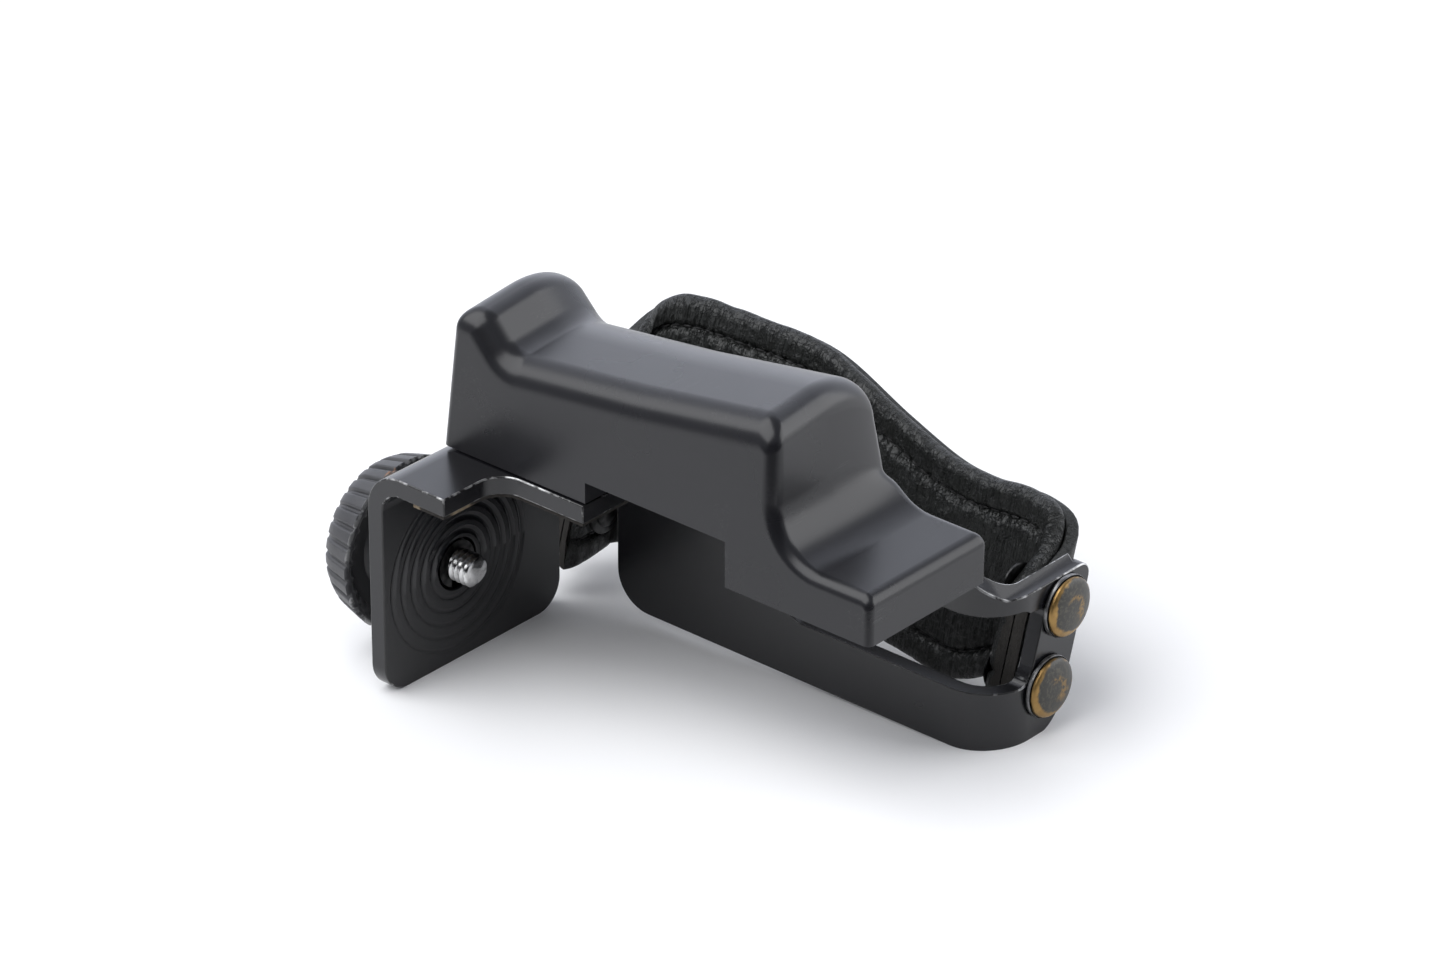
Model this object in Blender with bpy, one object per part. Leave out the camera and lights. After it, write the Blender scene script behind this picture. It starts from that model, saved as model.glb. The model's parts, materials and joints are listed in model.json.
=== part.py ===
"""Side hand grip for a camera: moulded grip body, bent mounting bracket with a captive screw and
ribbed knob, bent frame with a window, and a padded leather hand strap riveted to the frame's tabs.

Local axes: X runs along the grip away from the bracket, Y goes from the fingers' side to the palm's
side, Z points up. Local zero is where the screw's axis meets the bracket's seat face. The whole
assembly hangs from one empty, which stands it on the world's origin. Lengths are in millimetres.
"""

import math

import bmesh
import bpy
from mathutils import Matrix, Vector

MM = 0.001
GAP = 0.3

# Bracket: a 47 mm wide plate bent into an L
PLATE_THICK = 3.5
PLATE_FRONT, PLATE_BACK = -19.5, 27.5
PLATE_BOTTOM = -19.8
FLANGE_TOP = 26.5
FLANGE_THICK = 3.6
FLANGE_END = 35.5
BRACKET_BEND = 8.0
NOTCH_X, NOTCH_Y, NOTCH_FILLET = 15.4, -5.0, 5.0
RING_RADII = (18.0, 15.4, 12.8, 10.2, 7.6)
RING_WIDTH, RING_DEPTH = 1.5, 0.55
LINER_THICK = 0.9

# Captive 1/4"-20 screw and its knob
THREAD_R, THREAD_PITCH, THREAD_DEPTH = 3.175, 1.27, 0.55
SCREW_TIP = 4.7
SHANK_R = 2.9
NECK_R = 2.3
PLATE_HOLE_R = 3.5
CLIP_POCKET_R, CLIP_POCKET_DEPTH = 5.0, 2.0
CLIP_R, CLIP_THICK = 4.6, 0.8
FLOAT = 0.8
KNOB_FRONT, KNOB_BACK = -12.2, -20.0
KNOB_FRONT_R, KNOB_BACK_R = 16.9, 14.5
KNOB_LANDS = 30
HUB_R, SLEEVE_R = 8.6, 5.0

# Grip body
GRIP_FRONT, GRIP_BACK = -4.4, 27.7
GRIP_WALL = 3.0
GRIP_SHOULDER = 5.5
BACK_ROUNDING = 2.2
CROWN_START, CROWN_DROP = 10.7, 9.5
CROWN_LOW, CROWN_HIGH = 33.0, 44.0
SKEW, SKEW_LOW, SKEW_HIGH = 3.8, 36.0, 54.0
GRIP_LEFT, GRIP_RIGHT = 1.8, 100.9
GRIP_BASE = FLANGE_TOP + GAP
RECESS_BASE, FOOT_BASE = 31.0, 22.0
FOOT_START = 68.2
COVER_THICK = 2.4

# Frame
FRAME_THICK = 3.2
FRAME_FRONT = 28.0
FRAME_BOTTOM, FRAME_TOP = -14.6, 20.0
FRAME_LEFT = 13.9
RIGHT_TAB, LEFT_TAB = 103.0, -9.8
RIGHT_BEND, LEFT_BEND = 10.0, 8.0
TAB_TOP = 16.0
RIGHT_TAB_END, LEFT_TAB_END = 50.5, 47.5
WINDOW_LEFT, WINDOW_END = 54.5, 38.7
WINDOW_LOW, WINDOW_HIGH = -2.7, 12.8
ARM_LOW, ARM_HIGH = 6.5, 24.0
LUG_LEFT, LUG_RIGHT, LUG_HIGH = 38.0, 66.0, 41.5
LEAN = 0.30

# Strap: station X, Y at mid height, lower edge, upper edge
STRAP_STATIONS = (
    (-5.1, 34.5, -14.5, 19.0),
    (-5.1, 40.0, -14.5, 22.0),
    (-5.1, 46.9, -14.0, 28.4),
    (-1.6, 50.6, -13.2, 32.6),
    (6.0, 52.6, -12.4, 34.4),
    (20.0, 54.2, -12.0, 34.0),
    (36.0, 55.0, -12.0, 33.0),
    (54.0, 55.0, -12.0, 27.0),
    (68.0, 55.0, -13.6, 22.9),
    (78.0, 55.0, -14.6, 22.2),
    (88.0, 54.8, -10.8, 22.7),
    (95.2, 53.2, -9.4, 21.5),
    (98.1, 49.0, -9.0, 18.0),
    (98.1, 43.5, -8.8, 14.0),
    (98.1, 38.9, -8.5, 11.5),
)
BELT_THICK = 2.4
BELT_MARGIN = 2.2
PAD_THICK = 3.6

# Rivets: tab face, outward direction, Y at mid height, heights
RIVETS = {
    "right_upper": (RIGHT_TAB, 1, 43.9, 10.0),
    "right_lower": (RIGHT_TAB, 1, 43.9, -4.6),
    "left_upper": (LEFT_TAB, -1, 41.2, 11.0),
    "left_lower": (LEFT_TAB, -1, 41.2, -5.0),
}
CAP_R, CAP_HEIGHT = 5.65, 1.7
RIVET_HOLE_R, RIVET_R = 2.0, 1.7

# Machine screws: flange screws point up into the grip, frame screws point forward into it
FLANGE_SCREWS = ((10.0, 4.0), (27.0, 18.0))
FRAME_SCREWS = ((45.0, 36.2), (59.0, 36.2))
SCREW_R, SCREW_HEAD_R, SCREW_HEAD = 1.5, 2.7, 1.7
INSERT_R, INSERT_LENGTH = 2.4, 5.0
BOSS_R = 4.6


def clear_scene():
    for obj in list(bpy.data.objects):
        bpy.data.objects.remove(obj, do_unlink=True)


def material(name, colour, roughness, metallic=0.0):
    mat = bpy.data.materials.new(name)
    mat.use_nodes = True
    shader = mat.node_tree.nodes["Principled BSDF"]
    shader.inputs["Base Color"].default_value = (*colour, 1.0)
    shader.inputs["Roughness"].default_value = roughness
    shader.inputs["Metallic"].default_value = metallic
    return mat


def add_object(name, mesh_data, mat=None, root=None):
    """Turns a bmesh drawn in millimetres into an object in metres."""
    bmesh.ops.remove_doubles(mesh_data, verts=mesh_data.verts, dist=1e-5)
    bmesh.ops.recalc_face_normals(mesh_data, faces=mesh_data.faces)
    bmesh.ops.scale(mesh_data, vec=(MM, MM, MM), verts=mesh_data.verts)
    mesh = bpy.data.meshes.new(name)
    mesh_data.to_mesh(mesh)
    mesh_data.free()
    mesh.shade_smooth()
    mesh.set_sharp_from_angle(angle=math.radians(35))
    obj = bpy.data.objects.new(name, mesh)
    bpy.context.scene.collection.objects.link(obj)
    if mat:
        mesh.materials.append(mat)
    if root:
        obj.parent = root
    return obj


def cutter(name, mesh_data, root):
    obj = add_object(name, mesh_data, root=root)
    obj.hide_render = True
    obj.display_type = "WIRE"
    return obj


def boolean(obj, other, operation="DIFFERENCE"):
    modifier = obj.modifiers.new(other.name, "BOOLEAN")
    modifier.operation = operation
    modifier.solver = "EXACT"
    modifier.object = other


def arc(centre, radius, start, end, steps):
    """Points on an arc in a plane; angles in degrees."""
    angles = [math.radians(start + (end - start) * i / steps) for i in range(steps + 1)]
    return [(centre[0] + radius * math.cos(a), centre[1] + radius * math.sin(a)) for a in angles]


def rounded(corners, steps=4):
    """Replaces each (u, v, radius) corner of an outline with an arc."""
    points = []
    for i, (u, v, radius) in enumerate(corners):
        here = Vector((u, v))
        if not radius:
            points.append(here)
            continue
        before = (Vector(corners[i - 1][:2]) - here).normalized()
        after = (Vector(corners[(i + 1) % len(corners)][:2]) - here).normalized()
        half = before.angle(after) / 2
        centre = here + (before + after).normalized() * radius / math.sin(half)
        first = here + before * radius / math.tan(half) - centre
        last = here + after * radius / math.tan(half) - centre
        sweep = first.angle_signed(last)
        for k in range(steps + 1):
            points.append(centre + Matrix.Rotation(-sweep * k / steps, 2) @ first)
    return [tuple(p) for p in points]


def prism(outline, low, high, plane="XZ"):
    """Extrudes an outline from low to high along the axis that its plane leaves out."""
    place = {
        "XY": lambda u, v, w: (u, v, w),
        "XZ": lambda u, v, w: (u, w, v),
        "YZ": lambda u, v, w: (w, u, v),
    }[plane]
    mesh_data = bmesh.new()
    base = mesh_data.faces.new([mesh_data.verts.new(place(u, v, low)) for u, v in outline])
    grown = bmesh.ops.extrude_face_region(mesh_data, geom=[base])["geom"]
    shift = Vector(place(0, 0, high - low))
    bmesh.ops.translate(
        mesh_data, vec=shift, verts=[v for v in grown if isinstance(v, bmesh.types.BMVert)]
    )
    return mesh_data


def box_outline(u0, u1, v0, v1, radius=0.0):
    return rounded([(u0, v0, radius), (u1, v0, radius), (u1, v1, radius), (u0, v1, radius)])


def turned(profile, segments, axis="X", centre=(0, 0, 0), closed=False):
    """Spins (position, radius) points about an axis through centre."""
    mesh_data = bmesh.new()
    verts = [mesh_data.verts.new((radius, 0, along)) for along, radius in profile]
    ends = list(zip(verts, verts[1:] + verts[:1])) if closed else list(zip(verts, verts[1:]))
    edges = [mesh_data.edges.new(pair) for pair in ends]
    bmesh.ops.spin(
        mesh_data, geom=verts + edges, cent=(0, 0, 0), axis=(0, 0, 1),
        angle=2 * math.pi, steps=segments, use_merge=True,
    )
    bmesh.ops.remove_doubles(mesh_data, verts=mesh_data.verts, dist=1e-4)
    turn = {
        "X": Matrix.Rotation(math.radians(90), 4, "Y"),
        "Y": Matrix.Rotation(math.radians(-90), 4, "X"),
        "Z": Matrix.Identity(4),
    }[axis]
    bmesh.ops.transform(mesh_data, matrix=Matrix.Translation(centre) @ turn, verts=mesh_data.verts)
    return mesh_data


def rod(radius, low, high, segments=16, axis="X", centre=(0, 0, 0)):
    return turned([(low, 0), (low, radius), (high, radius), (high, 0)], segments, axis, centre)


def tube(inner, outer, low, high, segments=20, axis="X", centre=(0, 0, 0)):
    ring = [(low, inner), (low, outer), (high, outer), (high, inner)]
    return turned(ring, segments, axis, centre, closed=True)


def leaning(y, z):
    """Y at height z on a line that leans back with height, as the tabs and the strap do."""
    return y + LEAN * z


def shear(mesh_data):
    for vert in mesh_data.verts:
        vert.co.y = leaning(vert.co.y, vert.co.z)
    return mesh_data


# ---- bracket ---------------------------------------------------------------------------------


def make_bracket(root, mat):
    inner = BRACKET_BEND - PLATE_THICK
    centre = (BRACKET_BEND - PLATE_THICK, FLANGE_TOP - BRACKET_BEND)
    profile = [(0.0, PLATE_BOTTOM), (-PLATE_THICK, PLATE_BOTTOM)]
    profile += arc(centre, BRACKET_BEND, 180, 90, 6)
    profile += [(FLANGE_END, FLANGE_TOP), (FLANGE_END, FLANGE_TOP - FLANGE_THICK)]
    profile += [(centre[0], FLANGE_TOP - FLANGE_THICK)]
    profile += arc(centre, inner, 78, 180, 5)
    plate = add_object("angle_bracket", prism(profile, PLATE_FRONT, PLATE_BACK), mat, root)

    fillet = arc((NOTCH_X + NOTCH_FILLET, NOTCH_Y - NOTCH_FILLET), NOTCH_FILLET, 180, 90, 5)
    outline = [(NOTCH_X, PLATE_FRONT - 5)] + fillet + [(50, NOTCH_Y), (50, PLATE_FRONT - 5)]
    boolean(plate, cutter("cut_notch", prism(outline, 15, 35, "XY"), root))

    for name, y, side in (("cut_corner_front", PLATE_FRONT, 1), ("cut_corner_back", PLATE_BACK, -1)):
        radius = 6.0
        start, end = (180, 270) if side > 0 else (0, -90)
        edge = arc((y + side * radius, PLATE_BOTTOM + radius), radius, start, end, 5)
        outline = edge + [(y + side * radius, PLATE_BOTTOM - 3), (y - side * 3, PLATE_BOTTOM - 3)]
        outline += [(y - side * 3, PLATE_BOTTOM + radius)]
        boolean(plate, cutter(name, prism(outline, -8, 4, "YZ"), root))

    for index, radius in enumerate(RING_RADII):
        groove = tube(radius - RING_WIDTH, radius, -RING_DEPTH, 1.0, 36)
        boolean(plate, cutter(f"cut_ring_{index}", groove, root))
    pocket = [(-8, 0), (-8, PLATE_HOLE_R), (-CLIP_POCKET_DEPTH, PLATE_HOLE_R)]
    pocket += [(-CLIP_POCKET_DEPTH, CLIP_POCKET_R), (1, CLIP_POCKET_R), (1, 0)]
    boolean(plate, cutter("cut_screw_hole", turned(pocket, 24), root))

    low = FLANGE_TOP - FLANGE_THICK
    for index, (x, y) in enumerate(FLANGE_SCREWS):
        step = low + SCREW_HEAD + GAP
        hole = [(low - 1, 0), (low - 1, SCREW_HEAD_R + GAP), (step, SCREW_HEAD_R + GAP)]
        hole += [(step, SCREW_R + GAP), (FLANGE_TOP + 1, SCREW_R + GAP), (FLANGE_TOP + 1, 0)]
        boolean(plate, cutter(f"cut_flange_hole_{index}", turned(hole, 16, "Z", (x, y, 0)), root))
    return plate


def make_flange_liner(root, mat):
    margin = 1.0
    top = FLANGE_TOP - FLANGE_THICK - GAP
    fillet = arc(
        (NOTCH_X + NOTCH_FILLET - margin, NOTCH_Y - NOTCH_FILLET + margin), NOTCH_FILLET, 180, 90, 4
    )
    outline = [(7.0, PLATE_FRONT + margin), (NOTCH_X - margin, PLATE_FRONT + margin)]
    outline += fillet + [(FLANGE_END - margin, NOTCH_Y + margin)]
    outline += [(FLANGE_END - margin, PLATE_BACK - margin), (7.0, PLATE_BACK - margin)]
    add_object("flange_liner", prism(outline, top - LINER_THICK, top, "XY"), mat, root)


# ---- captive screw and knob ------------------------------------------------------------------


def make_mount_screw(root, mat):
    """Thread outside the seat face, a neck for the retaining clip, a shank and a slotted head."""
    crests = int((SCREW_TIP - 0.6) / THREAD_PITCH)
    profile = [(SCREW_TIP, 0), (SCREW_TIP, THREAD_R - 0.75)]
    for turn in range(crests):
        top = SCREW_TIP - 0.6 - turn * THREAD_PITCH
        profile += [(top, THREAD_R), (top - THREAD_PITCH / 2, THREAD_R - THREAD_DEPTH)]
    clip_front = -0.1
    profile += [(clip_front, THREAD_R - THREAD_DEPTH), (clip_front, NECK_R)]
    profile += [(clip_front - CLIP_THICK - 0.2, NECK_R), (clip_front - CLIP_THICK - 0.2, SHANK_R)]
    profile += [(KNOB_BACK + 2.2, SHANK_R), (KNOB_BACK + 2.2, 5.6), (KNOB_BACK + 0.6, 5.6)]
    profile += [(KNOB_BACK + 0.6, 0)]
    screw = add_object("mount_screw", turned(profile, 20), mat, root)
    slot = prism(box_outline(-0.8, 0.8, -8, 8), KNOB_BACK - 1, KNOB_BACK + 1.5, "YZ")
    boolean(screw, cutter("cut_coin_slot", slot, root))


def make_retaining_clip(root, mat):
    front = -0.2
    clip = tube(NECK_R + 0.15, CLIP_R, front - CLIP_THICK, front, 24)
    ring = add_object("retaining_clip", clip, mat, root)
    mouth = prism(box_outline(-1.5, 1.5, -8, 0), front - 2, front + 2, "YZ")
    boolean(ring, cutter("cut_clip_mouth", mouth, root))


def make_thrust_washer(root, mat):
    back = -PLATE_THICK - GAP
    add_object("thrust_washer", tube(SHANK_R + 0.3, 9.5, back - 1.0, back, 24), mat, root)


def make_knob_hub(root, mat):
    """A collar that bears on the washer, with a sleeve moulded into the knob."""
    front = -PLATE_THICK - GAP - 1.0 - GAP
    bore = SHANK_R + 0.25
    profile = [(front, bore), (front, HUB_R), (KNOB_FRONT + GAP, HUB_R)]
    profile += [(KNOB_FRONT + GAP, SLEEVE_R), (KNOB_BACK + 2.5, SLEEVE_R), (KNOB_BACK + 2.5, bore)]
    add_object("knob_hub", turned(profile, 24, closed=True), mat, root)


def make_knob(root, mat):
    """Ribbed rim that tapers towards the back, round a dished face and a recess for the head."""
    rings = (
        (KNOB_FRONT, KNOB_FRONT_R, True), (KNOB_FRONT - 5.6, KNOB_FRONT_R - 1.4, True),
        (KNOB_BACK, KNOB_BACK_R, False),
    )
    mesh_data = bmesh.new()
    loops = []
    for x, radius, ribbed in rings:
        loop = []
        for land in range(KNOB_LANDS):
            for share, depth in ((0.0, 0), (0.62, 0), (0.72, 0.7), (0.9, 0.7)):
                angle = 2 * math.pi * (land + share) / KNOB_LANDS
                r = radius - (depth if ribbed else depth * 0.5)
                loop.append(mesh_data.verts.new((x, r * math.cos(angle), r * math.sin(angle))))
        loops.append(loop)
    for first, second in zip(loops, loops[1:]):
        for i in range(len(first)):
            j = (i + 1) % len(first)
            mesh_data.faces.new((first[i], first[j], second[j], second[i]))
    mesh_data.faces.new(loops[0])
    mesh_data.faces.new(loops[-1])
    knob = add_object("knob", mesh_data, mat, root)
    dish = [(KNOB_FRONT + 1, 0), (KNOB_FRONT + 1, 14.4), (KNOB_FRONT - 1.2, 13.8)]
    dish += [(KNOB_FRONT - 0.2, 9.6), (KNOB_FRONT - 0.2, SLEEVE_R + GAP)]
    dish += [(KNOB_BACK + 2.2, SLEEVE_R + GAP), (KNOB_BACK + 2.2, 6.0), (KNOB_BACK - 1, 6.0)]
    dish += [(KNOB_BACK - 1, 0)]
    boolean(knob, cutter("cut_knob_dish", turned(dish, 24), root))


# ---- grip body -------------------------------------------------------------------------------


GRIP_CORNERS = (
    # x, z, corner radius, rounding of the edge from here to the next corner;
    # clockwise seen from the front, from the lower left corner
    (GRIP_LEFT, GRIP_BASE, 0, 1.6),
    (4.6, 55.2, 4.0, 4.5),
    (10.6, 54.8, 4.0, 5.0),
    (16.2, 48.4, 5.0, GRIP_SHOULDER),
    (46.0, 52.0, 0, GRIP_SHOULDER),
    (79.6, 57.4, 4.6, 2.8),
    (78.8, 31.5, 9.8, 2.4),
    (95.0, 31.5, 0, 2.2),
    (GRIP_RIGHT, 31.5, 2.4, 1.4),
    (GRIP_RIGHT, FOOT_BASE, 0, 0),
    (FOOT_START, FOOT_BASE, 0, 0),
    (FOOT_START, RECESS_BASE, 0, 0),
    (FLANGE_END, RECESS_BASE, 0, 0),
    (FLANGE_END, GRIP_BASE, 0, 0),
)
CORNER_STEPS = 3
CAVITY = (
    (5.5, 29.8), (7.0, 40.0), (14.0, 35.2), (20.0, 35.2), (46.0, 38.4), (70.5, 42.0),
    (73.2, 36.0), (79.5, 28.6), (96.9, 28.6), (96.9, 25.0), (71.2, 25.0), (71.2, 34.0),
    (32.5, 34.0), (32.5, 29.8),
)


def grip_outline(insets):
    """The grip's side outline with each edge moved inwards by its own distance."""
    count = len(GRIP_CORNERS)
    moved = []
    for i, (x, z, radius, _) in enumerate(GRIP_CORNERS):
        here = Vector((x, z))
        before = (here - Vector(GRIP_CORNERS[i - 1][:2])).normalized()
        after = (Vector(GRIP_CORNERS[(i + 1) % count][:2]) - here).normalized()
        turn = before.cross(after)
        in_before, in_after = insets[i - 1], insets[i]
        if abs(turn) < 0.15:
            point = here + Vector((after.y, -after.x)) * (in_before + in_after) / 2
        else:
            point = here + (before * in_after - after * in_before) / turn
        spread = (in_before + in_after) / 2
        bend = max(0.5, radius - spread) if turn < 0 else radius + spread
        moved.append((point.x, point.y, bend if radius else 0))
    return rounded(moved, CORNER_STEPS)


def edge_roundings():
    """How far the rounding reaches across Y at each point of the grip's outline."""
    reaches = []
    for i, (_, _, radius, after) in enumerate(GRIP_CORNERS):
        before = GRIP_CORNERS[i - 1][3]
        if not radius:
            reaches.append(max(before, after))
            continue
        reaches += [before + (after - before) * k / CORNER_STEPS for k in range(CORNER_STEPS + 1)]
    return reaches


def ease(value, low, high):
    """0 at low and before it, 1 at high and past it, smooth between them."""
    share = min(1.0, max(0.0, (value - low) / (high - low)))
    return share * share * (3 - 2 * share)


def crowned(x, y, z):
    """A point of the plain body, moved so that the top falls away and leans left towards the back."""
    share = min(1.0, max(0.0, (y - CROWN_START) / (GRIP_BACK - CROWN_START)))
    drop = CROWN_DROP * (1 - math.sqrt(1 - share * share)) * ease(z, CROWN_LOW, CROWN_HIGH)
    aside = SKEW * (y - GRIP_FRONT) / (GRIP_BACK - GRIP_FRONT) * ease(z, SKEW_LOW, SKEW_HIGH)
    return (x - aside, y, z - drop)


def make_grip_shell(root, mat):
    """Rings across Y: the rounded front edge, the crowned top and a small rounding at the back."""
    edges = [corner[3] for corner in GRIP_CORNERS]
    small = [min(edge, BACK_ROUNDING) for edge in edges]
    reaches = edge_roundings()
    turns = [math.radians(a) for a in (0, 30, 60, 90)]
    columns = [(a, GRIP_FRONT, 1) for a in reversed(turns)]
    columns += [(0, CROWN_START + step, 0) for step in (0.0, 5.0, 8.8, 11.6, 13.6)]
    columns += [(a, GRIP_BACK, -1) for a in turns]
    mesh_data = bmesh.new()
    rows = []
    for angle, y, side in columns:
        ring = grip_outline([e * (1 - math.cos(angle)) for e in (small if side < 0 else edges)])
        row = []
        for (px, pz), reach in zip(ring, reaches):
            depth = min(reach, BACK_ROUNDING) if side < 0 else reach
            here = y + side * depth * (1 - math.sin(angle))
            row.append(mesh_data.verts.new(crowned(px, here, pz)))
        rows.append(row)
    for first, second in zip(rows, rows[1:]):
        for i in range(len(first)):
            j = (i + 1) % len(first)
            mesh_data.faces.new((first[i], first[j], second[j], second[i]))
    mesh_data.faces.new(rows[0])
    mesh_data.faces.new(rows[-1])
    shell = add_object("grip_shell", mesh_data, mat, root)

    boolean(shell, cutter("cut_grip_cavity", prism(CAVITY, GRIP_FRONT + GRIP_WALL, 32), root))
    for index, (x, y) in enumerate(FLANGE_SCREWS):
        post = rod(BOSS_R, GRIP_BASE + 0.5, GRIP_BASE + 12, 12, "Z", (x, y, 0))
        boolean(shell, cutter(f"add_base_boss_{index}", post, root), "UNION")
        hole = rod(INSERT_R + 0.2, GRIP_BASE - 2, GRIP_BASE + 8, 12, "Z", (x, y, 0))
        boolean(shell, cutter(f"cut_base_hole_{index}", hole, root))
    inner_face = GRIP_BACK - COVER_THICK - 2 * GAP
    for index, (x, z) in enumerate(FRAME_SCREWS):
        post = rod(BOSS_R, GRIP_FRONT + 1.0, inner_face, 12, "Y", (x, 0, z))
        boolean(shell, cutter(f"add_back_boss_{index}", post, root), "UNION")
        hole = rod(INSERT_R + 0.2, inner_face - 8, inner_face + 2, 12, "Y", (x, 0, z))
        boolean(shell, cutter(f"cut_back_hole_{index}", hole, root))


def make_grip_cover(root, mat):
    """Closes the cavity from behind; it is set in by the gap all round."""
    count = len(CAVITY)
    outline = []
    for i, point in enumerate(CAVITY):
        here, last, following = (Vector(p) for p in (point, CAVITY[i - 1], CAVITY[(i + 1) % count]))
        before, after = (here - last).normalized(), (following - here).normalized()
        outline.append(tuple(here + (before - after) * GAP / before.cross(after)))
    front = GRIP_BACK - COVER_THICK - GAP
    cover = add_object("grip_back_cover", prism(outline, front, GRIP_BACK - GAP), mat, root)
    for index, (x, z) in enumerate(FRAME_SCREWS):
        hole = rod(SCREW_R + GAP, front - 1, GRIP_BACK + 1, 12, "Y", (x, 0, z))
        boolean(cover, cutter(f"cut_cover_hole_{index}", hole, root))


# ---- fixings ---------------------------------------------------------------------------------


def make_screw(name, axis, centre, seat, direction, length, root, mat):
    """Pan-headed machine screw whose head rests at seat and whose shank runs along direction."""
    profile = [
        (seat - direction * SCREW_HEAD, 0), (seat - direction * SCREW_HEAD, SCREW_HEAD_R - 0.5),
        (seat - direction * (SCREW_HEAD - 0.5), SCREW_HEAD_R), (seat, SCREW_HEAD_R),
        (seat, SCREW_R), (seat + direction * length, SCREW_R), (seat + direction * length, 0),
    ]
    add_object(name, turned(profile, 14, axis, centre), mat, root)


def make_fixings(root, steel, brass):
    seat = FLANGE_TOP - FLANGE_THICK + SCREW_HEAD
    for index, (x, y) in enumerate(FLANGE_SCREWS, 1):
        make_screw(f"flange_screw_{index}", "Z", (x, y, 0), seat, 1, 9.0, root, steel)
        low = GRIP_BASE + 0.4
        insert = tube(SCREW_R + 0.3, INSERT_R, low, low + INSERT_LENGTH, 14, "Z", (x, y, 0))
        add_object(f"flange_insert_{index}", insert, brass, root)
    seat = FRAME_FRONT + FRAME_THICK + 0.2
    inner_face = GRIP_BACK - COVER_THICK - 2 * GAP
    for index, (x, z) in enumerate(FRAME_SCREWS, 1):
        make_screw(f"frame_screw_{index}", "Y", (x, 0, z), seat, -1, 13.0, root, steel)
        high = inner_face - 0.3
        insert = tube(SCREW_R + 0.3, INSERT_R, high - INSERT_LENGTH, high, 14, "Y", (x, 0, z))
        add_object(f"frame_insert_{index}", insert, brass, root)


# ---- frame -----------------------------------------------------------------------------------


def frame_plan():
    """The frame seen from above: left tab, bend, panel, bend, right tab, as one thick line."""
    outer_left = arc((LEFT_TAB + LEFT_BEND, FRAME_FRONT + LEFT_BEND), LEFT_BEND, 180, 270, 6)
    outer_right = arc((RIGHT_TAB - RIGHT_BEND, FRAME_FRONT + RIGHT_BEND), RIGHT_BEND, 270, 360, 8)
    inner_right = arc(
        (RIGHT_TAB - RIGHT_BEND, FRAME_FRONT + RIGHT_BEND), RIGHT_BEND - FRAME_THICK, 360, 270, 8
    )
    inner_left = arc(
        (LEFT_TAB + LEFT_BEND, FRAME_FRONT + LEFT_BEND), LEFT_BEND - FRAME_THICK, 270, 180, 6
    )
    reach = 62.0
    plan = [(LEFT_TAB, reach)] + outer_left + outer_right + [(RIGHT_TAB, reach)]
    plan += [(RIGHT_TAB - FRAME_THICK, reach)] + inner_right + inner_left
    return plan + [(LEFT_TAB + FRAME_THICK, reach)]


def make_frame(root, mat):
    high = LUG_HIGH + 1
    frame = add_object("frame_plate", prism(frame_plan(), FRAME_BOTTOM, high, "XY"), mat, root)

    # The panel's outline, as everything above and to the left of it taken away
    above = [(-20, ARM_HIGH), (LUG_LEFT, ARM_HIGH)]
    above += arc((LUG_LEFT + 4, LUG_HIGH - 4), 4, 180, 90, 4)
    above += arc((LUG_RIGHT - 4, LUG_HIGH - 4), 4, 90, 0, 4)
    above += [(LUG_RIGHT, FRAME_TOP), (RIGHT_TAB - 7, FRAME_TOP), (RIGHT_TAB - 1.5, TAB_TOP)]
    above += [(120, TAB_TOP), (120, high + 5), (-20, high + 5)]
    boolean(frame, cutter("cut_above_panel", prism(above, 20, 70), root))
    beside = [(FRAME_LEFT, ARM_LOW)]
    beside += arc((FRAME_LEFT + 7.5, FRAME_BOTTOM + 7.5), 7.5, 180, 270, 5)
    beside += [(FRAME_LEFT + 7.5, FRAME_BOTTOM - 5), (-20, FRAME_BOTTOM - 5), (-20, ARM_LOW)]
    boolean(frame, cutter("cut_beside_panel", prism(beside, 20, 36.5), root))

    opening = box_outline(WINDOW_LEFT, WINDOW_LEFT + 70, WINDOW_LOW, WINDOW_HIGH, 4.0)
    window = shear_beyond(prism(opening, 20, WINDOW_END), FRAME_FRONT + RIGHT_BEND)
    boolean(frame, cutter("cut_window", window, root))

    for side, start, end, low, top in (
        ("right", 80, RIGHT_TAB_END, FRAME_BOTTOM, TAB_TOP),
        ("left", -20, LEFT_TAB_END, FRAME_BOTTOM + 1, ARM_HIGH),
    ):
        corner = 3.5
        outline = arc((end - corner - 2, low + corner + 2), corner + 2, 270, 360, 4)
        outline += arc((end - corner, top - corner), corner, 0, 90, 4)
        outline += [(end - corner, top + 20), (90, top + 20)]
        outline += [(90, low - 20), (end - corner - 2, low - 20)]
        tip = shear(prism(outline, start, start + 40, "YZ"))
        boolean(frame, cutter(f"cut_{side}_tab", tip, root))

    for name, (face, _, y, z) in RIVETS.items():
        hole = rod(RIVET_HOLE_R, face - 6, face + 6, 12, "X", (0, leaning(y, z), z))
        boolean(frame, cutter(f"cut_frame_{name}", hole, root))
    for index, (x, z) in enumerate(FRAME_SCREWS):
        hole = rod(SCREW_R + GAP, 25, 35, 12, "Y", (x, 0, z))
        boolean(frame, cutter(f"cut_frame_screw_{index}", hole, root))


def shear_beyond(mesh_data, limit):
    """Leans only the far end of the window, so that its edge on the tab follows the tab."""
    for vert in mesh_data.verts:
        if vert.co.y >= limit:
            vert.co.y = leaning(vert.co.y, vert.co.z)
    return mesh_data


# ---- strap -----------------------------------------------------------------------------------


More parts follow.
